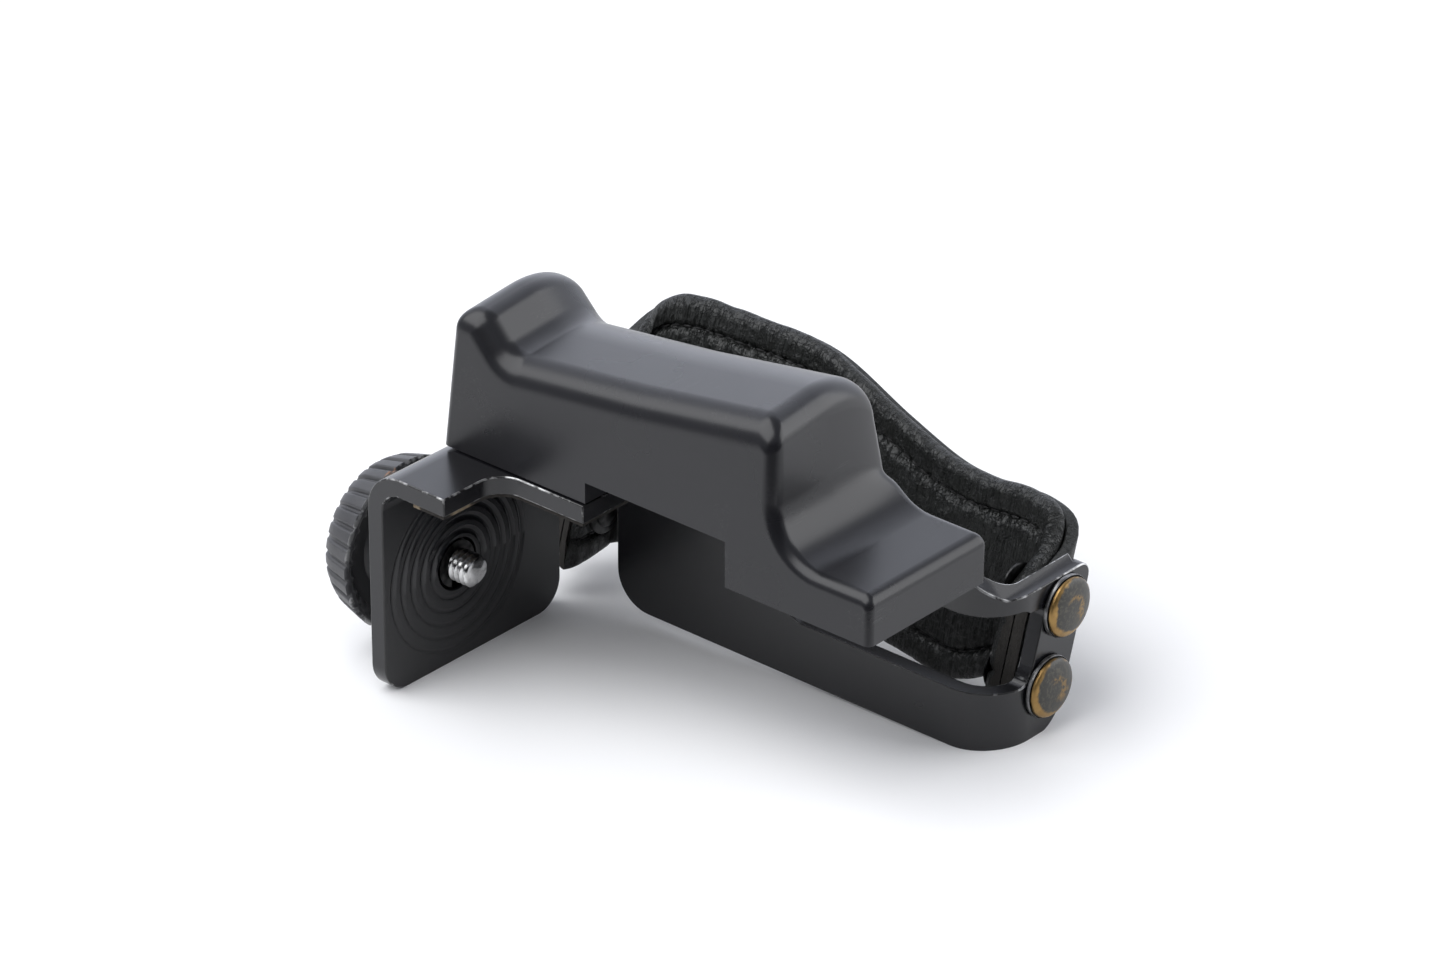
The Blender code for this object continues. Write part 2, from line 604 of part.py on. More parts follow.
def smooth(stations, steps):
    """Catmull-Rom curve through the stations."""
    rows = [Vector(s) for s in stations]
    rows = [2 * rows[0] - rows[1]] + rows + [2 * rows[-1] - rows[-2]]
    points = []
    for a, b, c, d in zip(rows, rows[1:], rows[2:], rows[3:]):
        for k in range(steps):
            t = k / steps
            points.append(
                0.5 * (2 * b + (c - a) * t + (2 * a - 5 * b + 4 * c - d) * t * t
                       + (3 * b - a - 3 * c + d) * t ** 3)
            )
    return points + [rows[-2]]


def make_band(name, near, far, margin, root, mat):
    """A leather band between two offsets from the strap's middle line, towards the hand."""
    points = smooth(STRAP_STATIONS, 2)
    rows = []
    mesh_data = bmesh.new()
    last = len(points) - 1
    for i in range(last + 1):
        ahead, behind = points[min(i + 1, last)], points[max(i - 1, 0)]
        along = Vector((ahead[0] - behind[0], ahead[1] - behind[1])).normalized()
        inside = Vector((along.y, -along.x))
        here = Vector(points[i][:2])
        low, high = points[i][2] + margin, points[i][3] - margin
        first, second = here + inside * near, here + inside * far
        rows.append([
            mesh_data.verts.new((p.x, leaning(p.y, z), z))
            for p, z in ((first, low), (second, low), (second, high), (first, high))
        ])
    for one, two in zip(rows, rows[1:]):
        for i in range(4):
            j = (i + 1) % 4
            mesh_data.faces.new((one[i], one[j], two[j], two[i]))
    mesh_data.faces.new(rows[0])
    mesh_data.faces.new(rows[-1])
    band = add_object(name, mesh_data, mat, root)
    for rivet, (face, _, y, z) in RIVETS.items():
        hole = rod(RIVET_HOLE_R, face - 16, face + 16, 12, "X", (0, leaning(y, z), z))
        boolean(band, cutter(f"cut_{name}_{rivet}", hole, root))


# ---- rivets ----------------------------------------------------------------------------------


def make_rivet(name, face, out, y, z, root, brass, steel):
    """Domed cap on a thin ring outside the tab, a post through tab and strap, a washer inside."""
    centre = (face, leaning(y, z), z)
    ring_out = GAP + 0.5
    ring = tube(RIVET_HOLE_R + 0.2, CAP_R + 0.35, out * GAP, out * ring_out, 20, "X", centre)
    add_object(f"rivet_ring_{name}", ring, steel, root)
    base = ring_out + GAP
    rise = 4
    dome = [(out * base, 0), (out * base, CAP_R)]
    for k in range(rise + 1):
        a = math.radians(90 * k / rise)
        dome.append((out * (base + 0.4 + (CAP_HEIGHT - 0.4) * math.sin(a)), CAP_R * math.cos(a)))
    add_object(f"rivet_cap_{name}", turned(dome, 20, "X", centre), brass, root)
    stack = FRAME_THICK + GAP + BELT_THICK + GAP + PAD_THICK
    inner = -(stack + GAP)
    washer = tube(RIVET_HOLE_R + 0.2, 4.4, out * (inner - 0.6), out * inner, 16, "X", centre)
    add_object(f"rivet_washer_{name}", washer, steel, root)
    head = inner - 0.6 - GAP
    post = [(out * (base - GAP), 0), (out * (base - GAP), RIVET_R), (out * head, RIVET_R)]
    post += [(out * head, 2.9), (out * (head - 0.7), 2.4), (out * (head - 0.7), 0)]
    add_object(f"rivet_post_{name}", turned(post, 14, "X", centre), steel, root)


def stand_on_origin(root):
    """Moves the assembly so that its box stands on the world's origin."""
    bpy.context.view_layer.update()
    graph = bpy.context.evaluated_depsgraph_get()
    corners = []
    for obj in bpy.context.scene.objects:
        if obj.type == "MESH" and not obj.hide_render:
            shown = obj.evaluated_get(graph)
            corners += [obj.matrix_world @ v.co for v in shown.data.vertices]
    low = Vector([min(c[k] for c in corners) for k in range(3)])
    high = Vector([max(c[k] for c in corners) for k in range(3)])
    root.location = (-(low.x + high.x) / 2, -(low.y + high.y) / 2, -low.z)


def main():
    clear_scene()
    root = bpy.data.objects.new("assembly", None)
    bpy.context.scene.collection.objects.link(root)
    knob_axis = bpy.data.objects.new("knob_axis", None)
    bpy.context.scene.collection.objects.link(knob_axis)
    knob_axis.parent = root

    black_metal = material("black_paint", (0.012, 0.012, 0.014), 0.42)
    moulding = material("black_moulding", (0.014, 0.014, 0.016), 0.38)
    steel = material("bright_steel", (0.62, 0.61, 0.6), 0.3, 1.0)
    brass = material("aged_brass", (0.42, 0.27, 0.07), 0.4, 1.0)
    leather = material("black_leather", (0.02, 0.018, 0.017), 0.55)
    cork = material("cork_liner", (0.42, 0.33, 0.22), 0.9)
    nylon = material("washer_nylon", (0.05, 0.05, 0.05), 0.5)

    make_bracket(root, black_metal)
    make_flange_liner(root, cork)
    make_mount_screw(knob_axis, steel)
    make_retaining_clip(knob_axis, steel)
    make_thrust_washer(knob_axis, nylon)
    make_knob_hub(knob_axis, steel)
    make_knob(knob_axis, moulding)
    make_grip_shell(root, moulding)
    make_grip_cover(root, moulding)
    make_fixings(root, steel, brass)
    make_frame(root, black_metal)
    half = BELT_THICK / 2
    make_band("strap_belt", -half, half, BELT_MARGIN, root, leather)
    make_band("strap_pad", half + GAP, half + GAP + PAD_THICK, 0.0, root, leather)
    for name, (face, out, y, z) in RIVETS.items():
        make_rivet(name, face, out, y, z, root, brass, steel)
    stand_on_origin(root)


main()
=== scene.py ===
"""Looks of a camera side hand grip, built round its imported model.

Shapes are drawn in local millimetres: X runs along the grip away from the bracket, Y from the
fingers' side to the palm's side and Z up, from where the screw's axis meets the seat face.
"""

import json
import math

import bmesh
import bpy
from mathutils import Matrix, Vector, noise


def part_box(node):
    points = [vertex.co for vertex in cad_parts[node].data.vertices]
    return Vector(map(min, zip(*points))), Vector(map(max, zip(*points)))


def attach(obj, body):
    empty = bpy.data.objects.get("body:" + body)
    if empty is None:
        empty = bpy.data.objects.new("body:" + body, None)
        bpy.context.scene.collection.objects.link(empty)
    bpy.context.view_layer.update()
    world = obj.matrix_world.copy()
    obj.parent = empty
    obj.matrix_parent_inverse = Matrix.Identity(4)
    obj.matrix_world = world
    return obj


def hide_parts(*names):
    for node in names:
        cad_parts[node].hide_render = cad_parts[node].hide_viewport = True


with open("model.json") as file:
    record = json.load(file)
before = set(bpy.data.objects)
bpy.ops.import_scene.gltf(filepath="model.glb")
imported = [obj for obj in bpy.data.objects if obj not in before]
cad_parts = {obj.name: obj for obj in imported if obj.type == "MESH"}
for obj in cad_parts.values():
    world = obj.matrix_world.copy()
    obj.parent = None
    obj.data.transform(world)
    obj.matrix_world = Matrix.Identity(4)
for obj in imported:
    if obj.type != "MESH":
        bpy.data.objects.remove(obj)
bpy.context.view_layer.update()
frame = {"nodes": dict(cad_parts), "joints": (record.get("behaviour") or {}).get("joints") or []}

MM = 0.001
ORIGIN = Vector(next(joint for joint in frame["joints"] if joint["name"] == "screw_turn")["pos_m"])
PLACE = Matrix.Translation(ORIGIN) @ Matrix.Scale(MM, 4)

# Bracket
PLATE_THICK, FLANGE_THICK = 3.5, 3.6
BRACKET_BEND = 8.0
NOTCH_X, NOTCH_Y, NOTCH_FILLET = 15.4, -5.0, 5.0
PLATE_CORNER = 6.0
EDGE_BREAK = 0.28
RING_RADII = (18.0, 15.4, 12.8, 10.2, 7.6)
RING_WIDTH, RING_DEPTH = 1.7, 0.34
CLIP_POCKET_R, CLIP_POCKET_DEPTH = 5.0, 2.0
PLATE_HOLE_R = 3.5

# Screw and knob
THREAD_R, THREAD_PITCH, THREAD_DEPTH = 3.175, 1.27, 0.72
SHANK_R, NECK_R, HUB_R = 2.9, 2.3, 8.6
KNOB_LANDS, STEPS_PER_LAND, GROOVE_DEPTH = 30, 14, 0.6

# Grip body
SHOULDER, BACK_ROUNDING = 5.5, 2.2
CROWN_REACH, CROWN_DROP = 17.0, 9.5
CROWN_LOW, CROWN_HIGH = 33.0, 44.0
SKEW, SKEW_LOW, SKEW_HIGH = 3.8, 36.0, 54.0
WALL = 3.0
CAVITY = (
    (5.5, 29.8), (7.0, 40.0), (14.0, 35.2), (20.0, 35.2), (46.0, 38.4), (70.5, 42.0),
    (73.2, 36.0), (79.5, 28.6), (96.9, 28.6), (96.9, 25.0), (71.2, 25.0), (71.2, 34.0),
    (32.5, 34.0), (32.5, 29.8),
)
RECESS_BASE, FOOT_BASE, FOOT_START = 31.0, 22.0, 68.2
CORNER_STEPS, SHOULDER_STEPS, CROWN_STEPS = 12, 10, 14

# Frame
FRAME_THICK = 3.2
RIGHT_BEND, LEFT_BEND = 10.0, 8.0
FRAME_LEFT, PANEL_CORNER = 13.9, 7.5
FRAME_TOP, TAB_TOP = 20.0, 16.0
RIGHT_TAB_END, LEFT_TAB_END = 50.5, 47.5
TIP_LOW_R, TIP_HIGH_R = 5.5, 3.5
WINDOW_LEFT, WINDOW_END, WINDOW_LOW, WINDOW_HIGH = 54.5, 38.7, -2.7, 12.8
WINDOW_CORNER = 3.2
ARM_LOW, ARM_HIGH = 6.5, 24.0
LUG_LEFT, LUG_RIGHT, LUG_CORNER = 38.0, 66.0, 4
LEAN = 0.30

# Strap: station X, Y at mid height, lower edge, upper edge
STRAP_STATIONS = (
    (-5.1, 34.5, -14.5, 19.0),
    (-5.1, 40.0, -14.5, 22.0),
    (-5.1, 46.9, -14.0, 28.4),
    (-1.6, 50.6, -13.2, 32.6),
    (6.0, 52.6, -12.4, 34.4),
    (20.0, 54.2, -12.0, 34.0),
    (36.0, 55.0, -12.0, 33.0),
    (54.0, 55.0, -12.0, 27.0),
    (68.0, 55.0, -13.6, 22.9),
    (78.0, 55.0, -14.6, 22.2),
    (88.0, 54.8, -10.8, 22.7),
    (95.2, 53.2, -9.4, 21.5),
    (98.1, 49.0, -9.0, 18.0),
    (98.1, 43.5, -8.8, 14.0),
    (98.1, 38.9, -8.5, 11.5),
)
BELT_THICK, BELT_MARGIN, END_MARGIN = 2.4, 2.2, 0.5
MARGIN_FROM, MARGIN_FULL = 7.0, 13.0
PAD_GAP, PAD_THICK = 0.3, 3.6
SEAM, SEAM_DEPTH, SEAM_WIDTH = 5.3, 1.15, 0.6
STITCH_SPACING, STITCH_R, STITCH_STRETCH, STITCH_RISE = 2.4, 0.3, 3.1, 0.12

# Rivets: X of the tab's face, outward direction, Y at mid height, heights
RIVETS = {
    "right_upper": (103.0, 1, 43.9, 10.0),
    "right_lower": (103.0, 1, 43.9, -4.6),
    "left_upper": (-9.8, -1, 41.2, 11.0),
    "left_lower": (-9.8, -1, 41.2, -5.0),
}
RIVET_HOLE_R, HOLE_REACH = 2.0, 6
WASHER_R, DOME_STEPS = 4.4, 14
POST_R, HEAD_R, HEAD_RISE = 1.7, 2.85, 0.7

# Where the object rests: the floor's height at X = 0 and its rise along X
FLOOR_Z, FLOOR_RISE = -19.7, 5.2 / 94.75


# ---- nodes -----------------------------------------------------------------------------------


class Value:
    """One output of a node. Arithmetic on it adds Math nodes."""

    def __init__(self, sketch, socket):
        self.sketch, self.socket = sketch, socket

    def math(self, operation, *others):
        return self.sketch.add("ShaderNodeMath", {"operation": operation}, [self, *others])

    def other(self, name):
        return Value(self.sketch, self.socket.node.outputs[name])

    def __add__(self, other):
        return self.math("ADD", other)

    def __sub__(self, other):
        return self.math("SUBTRACT", other)

    def __rsub__(self, other):
        return self.sketch.add("ShaderNodeMath", {"operation": "SUBTRACT"}, [other, self])

    def __mul__(self, other):
        return self.math("MULTIPLY", other)

    def __truediv__(self, other):
        return self.math("DIVIDE", other)

    def __rtruediv__(self, other):
        return self.sketch.add("ShaderNodeMath", {"operation": "DIVIDE"}, [other, self])

    __radd__ = __add__
    __rmul__ = __mul__


class Sketch:
    """A node tree being drawn, for a material or for Geometry Nodes."""

    def __init__(self, tree):
        self.tree = tree

    def add(self, kind, settings=None, sockets=None, output=0):
        """Makes a node: its settings first, then its sockets by name or by place."""
        node = self.tree.nodes.new(kind)
        for name, setting in (settings or {}).items():
            setattr(node, name, setting)
        sockets = sockets or {}
        for key, value in sockets.items() if isinstance(sockets, dict) else enumerate(sockets):
            if isinstance(value, Value):
                self.tree.links.new(value.socket, node.inputs[key])
            else:
                node.inputs[key].default_value = value
        return Value(self, node.outputs[output]) if node.outputs else None

    def fade(self, value, low, high):
        """0 at low and before it, 1 at high and past it, smooth between them."""
        settings = {"interpolation_type": "SMOOTHSTEP"}
        return self.add("ShaderNodeMapRange", settings, [value, low, high])

    def mix(self, factor, first, second):
        return self.add("ShaderNodeMix", {"data_type": "RGBA"}, {0: factor, 6: first, 7: second}, 2)

    def place(self):
        return self.add("ShaderNodeTexCoord", output="Object")

    def stretched(self, vector, scale, turn=(0.0, 0.0, 0.0)):
        sockets = {"Vector": vector, "Scale": scale, "Rotation": turn}
        return self.add("ShaderNodeMapping", {}, sockets)

    def noise(self, vector, scale, detail=3.0):
        sockets = {"Vector": vector, "Scale": scale, "Detail": detail}
        return self.add("ShaderNodeTexNoise", {}, sockets)

    def cells(self, vector, scale, feature="F1"):
        sockets = {"Vector": vector, "Scale": scale}
        return self.add("ShaderNodeTexVoronoi", {"feature": feature}, sockets)

    def bump(self, height, depth_mm, strength=1.0):
        sockets = {"Height": height, "Distance": depth_mm * MM, "Strength": strength}
        return self.add("ShaderNodeBump", {}, sockets)

    def parts(self, vector):
        first = self.add("ShaderNodeSeparateXYZ", {}, [vector])
        return first, first.other("Y"), first.other("Z")


def grey(level, blue=0.0):
    return (level, level, level * (1 + blue), 1.0)


# ---- materials -------------------------------------------------------------------------------


def painted(name, recipe, **fixed):
    """A material whose recipe gives the sockets that vary; fixed ones hold over the surface."""
    mat = bpy.data.materials.new(name)
    mat.use_nodes = True
    mat.node_tree.nodes.clear()
    sketch = Sketch(mat.node_tree)
    sockets = recipe(sketch) | {key.replace("_", " "): value for key, value in fixed.items()}
    shader = sketch.add("ShaderNodeBsdfPrincipled", {}, sockets)
    sketch.add("ShaderNodeOutputMaterial", {}, {"Surface": shader})
    return mat


def scratches(sketch, place, turn, scale, width):
    """Long hairlines along one direction, broken up in patches."""
    lines = sketch.noise(sketch.stretched(place, scale, turn), 1.0, 2.0)
    near = 1 - sketch.fade((lines - 0.5).math("ABSOLUTE"), 0.0, width)
    return near * sketch.fade(sketch.noise(place, 90.0, 2.0), 0.56, 0.7)


def specks(sketch, place, scale, size, share):
    """Tiny chips, one in a share of the cells."""
    cell = sketch.cells(place, scale)
    pick = sketch.parts(cell.other("Color"))[0].math("GREATER_THAN", 1 - share)
    return (1 - sketch.fade(cell, size * 0.5, size)) * pick


def moulding_recipe(sketch):
    place = sketch.place()
    cloud = sketch.noise(place, 38.0, 4.0)
    hair = scratches(sketch, place, (0.2, 0.4, 0.5), (900.0, 30.0, 900.0), 0.008)
    chips = specks(sketch, place, 230.0, 0.05, 0.03)
    marks = (hair * 0.1 + chips).math("MINIMUM", 1.0)
    base = sketch.mix(cloud, grey(0.007, 0.25), grey(0.011, 0.2))
    grain = sketch.noise(place, 5200.0, 2.0)
    return {
        "Base Color": sketch.mix(marks, base, grey(0.35)),
        "Roughness": 0.24 + cloud * 0.08 + marks * 0.2,
        "Normal": sketch.bump(grain + marks * 0.5, 0.004),
    }


def ribbed_recipe(sketch):
    """The knob: rubbed plastic with a thin worn line along its front border and a spot of dirt."""
    front = local_box("knob")[1].x
    place = sketch.place()
    x, y, z = sketch.parts(place)
    along = (x - ORIGIN.x) / MM - front
    across, up = (y - ORIGIN.y) / MM, (z - ORIGIN.z) / MM
    rise = (across * across + up * up).math("SQRT")
    ragged = sketch.noise(place, 1300.0, 3.0)
    border = sketch.fade(along + ragged * 0.3, -0.3, -0.05) * sketch.fade(rise, 15.9, 16.3)
    bare = border * sketch.fade(sketch.noise(place, 300.0, 3.0), 0.44, 0.56) * 0.8
    spot = 1 - sketch.fade((across + 4.0).math("ABSOLUTE"), 0.6, 2.2)
    blotch = sketch.fade(sketch.noise(place, 500.0, 4.0), 0.42, 0.56)
    dirt = spot * sketch.fade(up, 12.5, 13.5) * sketch.fade(along, -0.9, -0.3) * blotch
    cloud = sketch.noise(place, 160.0, 4.0)
    base = sketch.mix(cloud, grey(0.03, 0.1), grey(0.055, 0.06))
    base = sketch.mix(dirt, base, (0.30, 0.13, 0.045, 1.0))
    return {
        "Base Color": sketch.mix(bare, base, grey(0.5)),
        "Metallic": bare,
        "Roughness": 0.34 + cloud * 0.2 + dirt * 0.3,
        "Normal": sketch.bump(sketch.noise(place, 2600.0, 3.0), 0.02),
    }


def paint_recipe(sketch):
    place = sketch.place()
    cloud = sketch.noise(place, 40.0, 3.0)
    chips = specks(sketch, place, 300.0, 0.05, 0.02)
    base = sketch.mix(cloud, grey(0.004, 0.3), grey(0.007, 0.25))
    return {
        "Base Color": sketch.mix(chips, base, grey(0.3, 0.05)),
        "Roughness": 0.2 + cloud * 0.1 + chips * 0.2,
        "Normal": sketch.bump(sketch.noise(place, 3200.0, 2.0) + chips * 0.4, 0.003),
    }


def worn_recipe(axis, low, high):
    """Bare aluminium where paint has worn off an edge, more of it from low to high on an axis."""

    def recipe(sketch):
        place = sketch.place()
        along = (sketch.parts(place)[axis] - ORIGIN[axis]) / MM
        patch = sketch.noise(place, 60.0, 3.0) * 0.55 + sketch.noise(place, 500.0, 4.0) * 0.45
        bare = sketch.fade(patch + sketch.fade(along, low, high) * 0.13, 0.6, 0.72)
        return {
            "Base Color": sketch.mix(bare, grey(0.012), grey(0.5)),
            "Metallic": bare,
            "Roughness": 0.26 + bare * 0.16,
            "Normal": sketch.bump(sketch.noise(place, 2400.0, 2.0), 0.006),
        }

    return recipe


def metal_recipe(dull, bright, smoothness):
    """Turned metal between two colours."""

    def recipe(sketch):
        place = sketch.place()
        turning = sketch.noise(sketch.stretched(place, (5200.0, 240.0, 240.0)), 1.0, 2.0)
        cloud = sketch.noise(place, 700.0, 3.0)
        return {
            "Base Color": sketch.mix(sketch.fade(cloud, 0.35, 0.65), dull, bright),
            "Roughness": smoothness + turning * 0.16,
            "Normal": sketch.bump(turning, 0.004),
        }

    return recipe


def cap_recipe(sketch):
    """Domed caps: dark lacquer in the middle, brass rubbed bare at the rim and in one arc."""
    disc = sketch.add("ShaderNodeAttribute", {"attribute_name": "disc"}, output="Vector")
    across, up = sketch.parts(disc)[1:]
    place = sketch.place()
    ragged = sketch.noise(place, 520.0, 5.0)
    mottle = sketch.noise(place, 1700.0, 4.0)
    reach = (across * across + up * up).math("SQRT")
    side = (across * 0.7 + up * 0.7) * 0.12
    rim = sketch.fade(reach + (ragged - 0.5) * 0.3 - side, 0.84, 0.94)
    ring = (reach - 0.4).math("ABSOLUTE") + (ragged - 0.5) * 0.5 + up * 0.25
    open_side = sketch.fade(across * 0.8 + up * 0.5 + (ragged - 0.5) * 0.6, -0.2, 0.15)
    spot = (1 - sketch.fade(ring, 0.06, 0.2)) * sketch.fade(mottle, 0.36, 0.56) * open_side
    bare = rim.math("MAXIMUM", spot * 0.7)
    dust = sketch.fade(mottle, 0.45, 0.7)
    brass = sketch.mix(ragged, (0.20, 0.115, 0.04, 1.0), (0.42, 0.27, 0.10, 1.0))
    lacquer = sketch.mix(dust, (0.018, 0.017, 0.013, 1.0), (0.065, 0.06, 0.045, 1.0))
    return {
        "Base Color": sketch.mix(bare, lacquer, brass),
        "Metallic": bare * 0.85,
        "Roughness": 0.36 + dust * 0.2 - bare * 0.06,
        "Normal": sketch.bump(ragged + bare * -0.3 + dust * 0.2, 0.05),
    }


def leather_recipe(cell, depth, gloss):
    """Black leather: pebbled cells with fine creases, drawn along the strap."""

    def recipe(sketch):
        lie = sketch.add("ShaderNodeAttribute", {"attribute_name": "lie"}, output="Vector")
        warped = sketch.noise(lie, 0.25, 3.0)
        pebble = sketch.cells(lie, 1 / cell, "SMOOTH_F1")
        pores = sketch.cells(lie, 2.7 / cell)
        upright = sketch.stretched(lie, (0.9, 0.16, 0.5))
        across = (sketch.noise(upright, 1.0, 4.0) - 0.5).math("ABSOLUTE")
        slanted = sketch.stretched(lie, (0.3, 0.75, 0.5), (0.0, 0.0, 0.5))
        along = (sketch.noise(slanted, 1.0, 4.0) - 0.5).math("ABSOLUTE")
        folds = sketch.noise(sketch.stretched(lie, (0.8, 0.13, 0.4)), 1.0, 3.0)
        lines = (1 - sketch.fade(across, 0.0, 0.03)) + (1 - sketch.fade(along, 0.0, 0.025)) * 0.7
        cloud = sketch.noise(lie, 0.12, 4.0)
        base = sketch.mix(cloud, (0.0035, 0.0042, 0.0036, 1.0), (0.009, 0.0105, 0.009, 1.0))
        worn = sketch.fade(warped + pores * 0.2, 0.66, 0.9) * 0.25
        relief = folds * 4.0 + pebble * -0.8 + pores * -0.25 + lines * -1.2
        return {
            "Base Color": sketch.mix(worn, base, (0.04, 0.04, 0.036, 1.0)),
            "Roughness": gloss + cloud * 0.14 + pebble * 0.1,
            "Normal": sketch.bump(relief, depth),
        }

    return recipe


def raw_edge_recipe(sketch):
    """The strap's cut edge: dark layered fibres, brown high up, darker in patches and towards the
    bottom.
    """
    lie = sketch.add("ShaderNodeAttribute", {"attribute_name": "lie"}, output="Vector")
    layers = sketch.noise(sketch.stretched(lie, (0.35, 0.35, 6.0)), 1.0, 4.0)
    fibres = sketch.noise(sketch.stretched(lie, (3.0, 3.0, 9.0)), 1.0, 3.0)
    height = sketch.parts(lie)[1]
    # The edge turns darker lower down and in patches.
    high = sketch.fade(height, 16.0, 22.0)
    dark = sketch.fade(sketch.noise(lie, 0.3, 3.0) + (1 - high) * 0.3, 0.45, 0.6)
    brown = sketch.mix(layers, (0.05, 0.028, 0.016, 1.0), (0.22, 0.12, 0.065, 1.0))
    dark_layers = sketch.mix(layers, (0.010, 0.009, 0.008, 1.0), (0.05, 0.045, 0.038, 1.0))
    return {
        "Base Color": sketch.mix(dark, brown, dark_layers),
        "Roughness": 0.7 + fibres * 0.2,
        "Normal": sketch.bump(layers * 0.6 + fibres, 0.25),
    }


def thread_recipe(sketch):
    lay = sketch.stretched(sketch.place(), (2600.0, 5200.0, 5200.0), (0.4, 0.3, 0.5))
    twist = sketch.noise(lay, 1.0, 2.0)
    return {
        "Base Color": sketch.mix(twist, grey(0.012), grey(0.04)),
        "Roughness": 0.55 + twist * 0.2,
        "Normal": sketch.bump(twist, 0.05),
    }


def cork_recipe(sketch):
    """What is left of the liner: dark glue, with pale cork only near the bend."""
    place = sketch.place()
    along = (sketch.parts(place)[0] - ORIGIN.x) / MM
    grains = sketch.cells(place, 900.0)
    gone = sketch.fade(along, 12.0, 20.0) * 0.3
    left = sketch.fade(sketch.noise(place, 140.0, 4.0) - gone, 0.42, 0.5)
    cork = sketch.mix(grains, (0.10, 0.07, 0.04, 1.0), (0.26, 0.21, 0.14, 1.0))
    return {
        "Base Color": sketch.mix(left, (0.018, 0.015, 0.012, 1.0), cork),
        "Roughness": 0.75 + grains * 0.2,
        "Normal": sketch.bump(grains + left * 0.6, 0.12),
    }


def nylon_recipe(sketch):
    cloud = sketch.noise(sketch.place(), 900.0, 3.0)
    return {
        "Base Color": sketch.mix(cloud, grey(0.03), grey(0.06)),
        "Roughness": 0.42 + cloud * 0.16,
        "Normal": sketch.bump(cloud, 0.01),
    }


def make_finishes():
    steel = metal_recipe(grey(0.5), grey(0.74), 0.12)
    blackened = metal_recipe(grey(0.03), grey(0.07), 0.3)
    dulled = metal_recipe(grey(0.12), grey(0.26), 0.34)
    brass = metal_recipe((0.46, 0.30, 0.09, 1.0), (0.6, 0.42, 0.16, 1.0), 0.26)
    return {
        "moulding": painted("satin_black_moulding", moulding_recipe, Specular_IOR_Level=0.42),
        "ribbed": painted("rubbed_knob_plastic", ribbed_recipe),
        "paint": painted("black_anodised_plate", paint_recipe, Specular_IOR_Level=0.55),
        "worn_bracket": painted("worn_bracket_edge", worn_recipe(2, 12.0, 26.0)),
        "worn_frame": painted("worn_frame_edge", worn_recipe(2, 13.0, 15.5)),
        "steel": painted("turned_steel", steel, Metallic=1.0),
        "blackened": painted("blackened_steel", blackened, Metallic=1.0),
        "dulled": painted("dulled_steel", dulled, Metallic=1.0),
        "brass": painted("turned_brass", brass, Metallic=1.0),
        "cap": painted("aged_cap_brass", cap_recipe),
        "pad": painted("soft_pad_leather", leather_recipe(1.1, 0.28, 0.33)),
        "belt": painted("smooth_belt_leather", leather_recipe(0.7, 0.1, 0.44)),
        "raw": painted("raw_leather_edge", raw_edge_recipe),
        "thread": painted("black_thread", thread_recipe),
        "cork": painted("cork_and_glue", cork_recipe),
        "nylon": painted("black_nylon", nylon_recipe),
    }


# ---- mesh work -------------------------------------------------------------------------------


def local_box(node):
    return [(corner - ORIGIN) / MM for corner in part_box(node)]


def ease(value, low, high):
    """0 at low and before it, 1 at high and past it, smooth between them."""
    share = min(1.0, max(0.0, (value - low) / (high - low)))
    return share * share * (3 - 2 * share)


def arc(centre, radius, start, end, steps):
    """Points on an arc in a plane; angles in degrees."""
    angles = [math.radians(start + (end - start) * i / steps) for i in range(steps + 1)]
    return [(centre[0] + radius * math.cos(a), centre[1] + radius * math.sin(a)) for a in angles]


def rounded(corners, steps=8):
    """Replaces each (u, v, radius) corner of an outline with an arc."""
    points = []
    for i, (u, v, radius) in enumerate(corners):
        here = Vector((u, v))
        if not radius:
            points.append(here)
            continue
        before = (Vector(corners[i - 1][:2]) - here).normalized()
        after = (Vector(corners[(i + 1) % len(corners)][:2]) - here).normalized()
        half = before.angle(after) / 2
        centre = here + (before + after).normalized() * radius / math.sin(half)
        first = here + before * radius / math.tan(half) - centre
        last = here + after * radius / math.tan(half) - centre
        sweep = first.angle_signed(last)
        turns = [Matrix.Rotation(-sweep * k / steps, 2) for k in range(steps + 1)]
        points += [centre + turn @ first for turn in turns]
    return [tuple(p) for p in points]


def prism(outline, low, high, plane="XZ"):
    """Extrudes an outline from low to high along the axis that its plane leaves out."""
    place = {
        "XY": lambda u, v, w: (u, v, w),
        "XZ": lambda u, v, w: (u, w, v),
        "YZ": lambda u, v, w: (w, u, v),
    }[plane]
    drawn = bmesh.new()
    ends = [[drawn.verts.new(place(u, v, level)) for u, v in outline] for level in (low, high)]
    skin_rows(drawn, ends, closed=True)
    return drawn


def skin_rows(drawn, rows, closed, capped=True):
    """Faces between rows of vertices; closed joins a row's ends, capped fills the outer rows."""
    count = len(rows[0]) if closed else len(rows[0]) - 1
    for first, second in zip(rows, rows[1:]):
        for i in range(count):
            j = (i + 1) % len(first)
            drawn.faces.new((first[i], first[j], second[j], second[i]))
    if capped:
        drawn.faces.new(rows[0])
        drawn.faces.new(rows[-1])


def box_outline(u0, u1, v0, v1, radius=0.0):
    return rounded([(u0, v0, radius), (u1, v0, radius), (u1, v1, radius), (u0, v1, radius)])


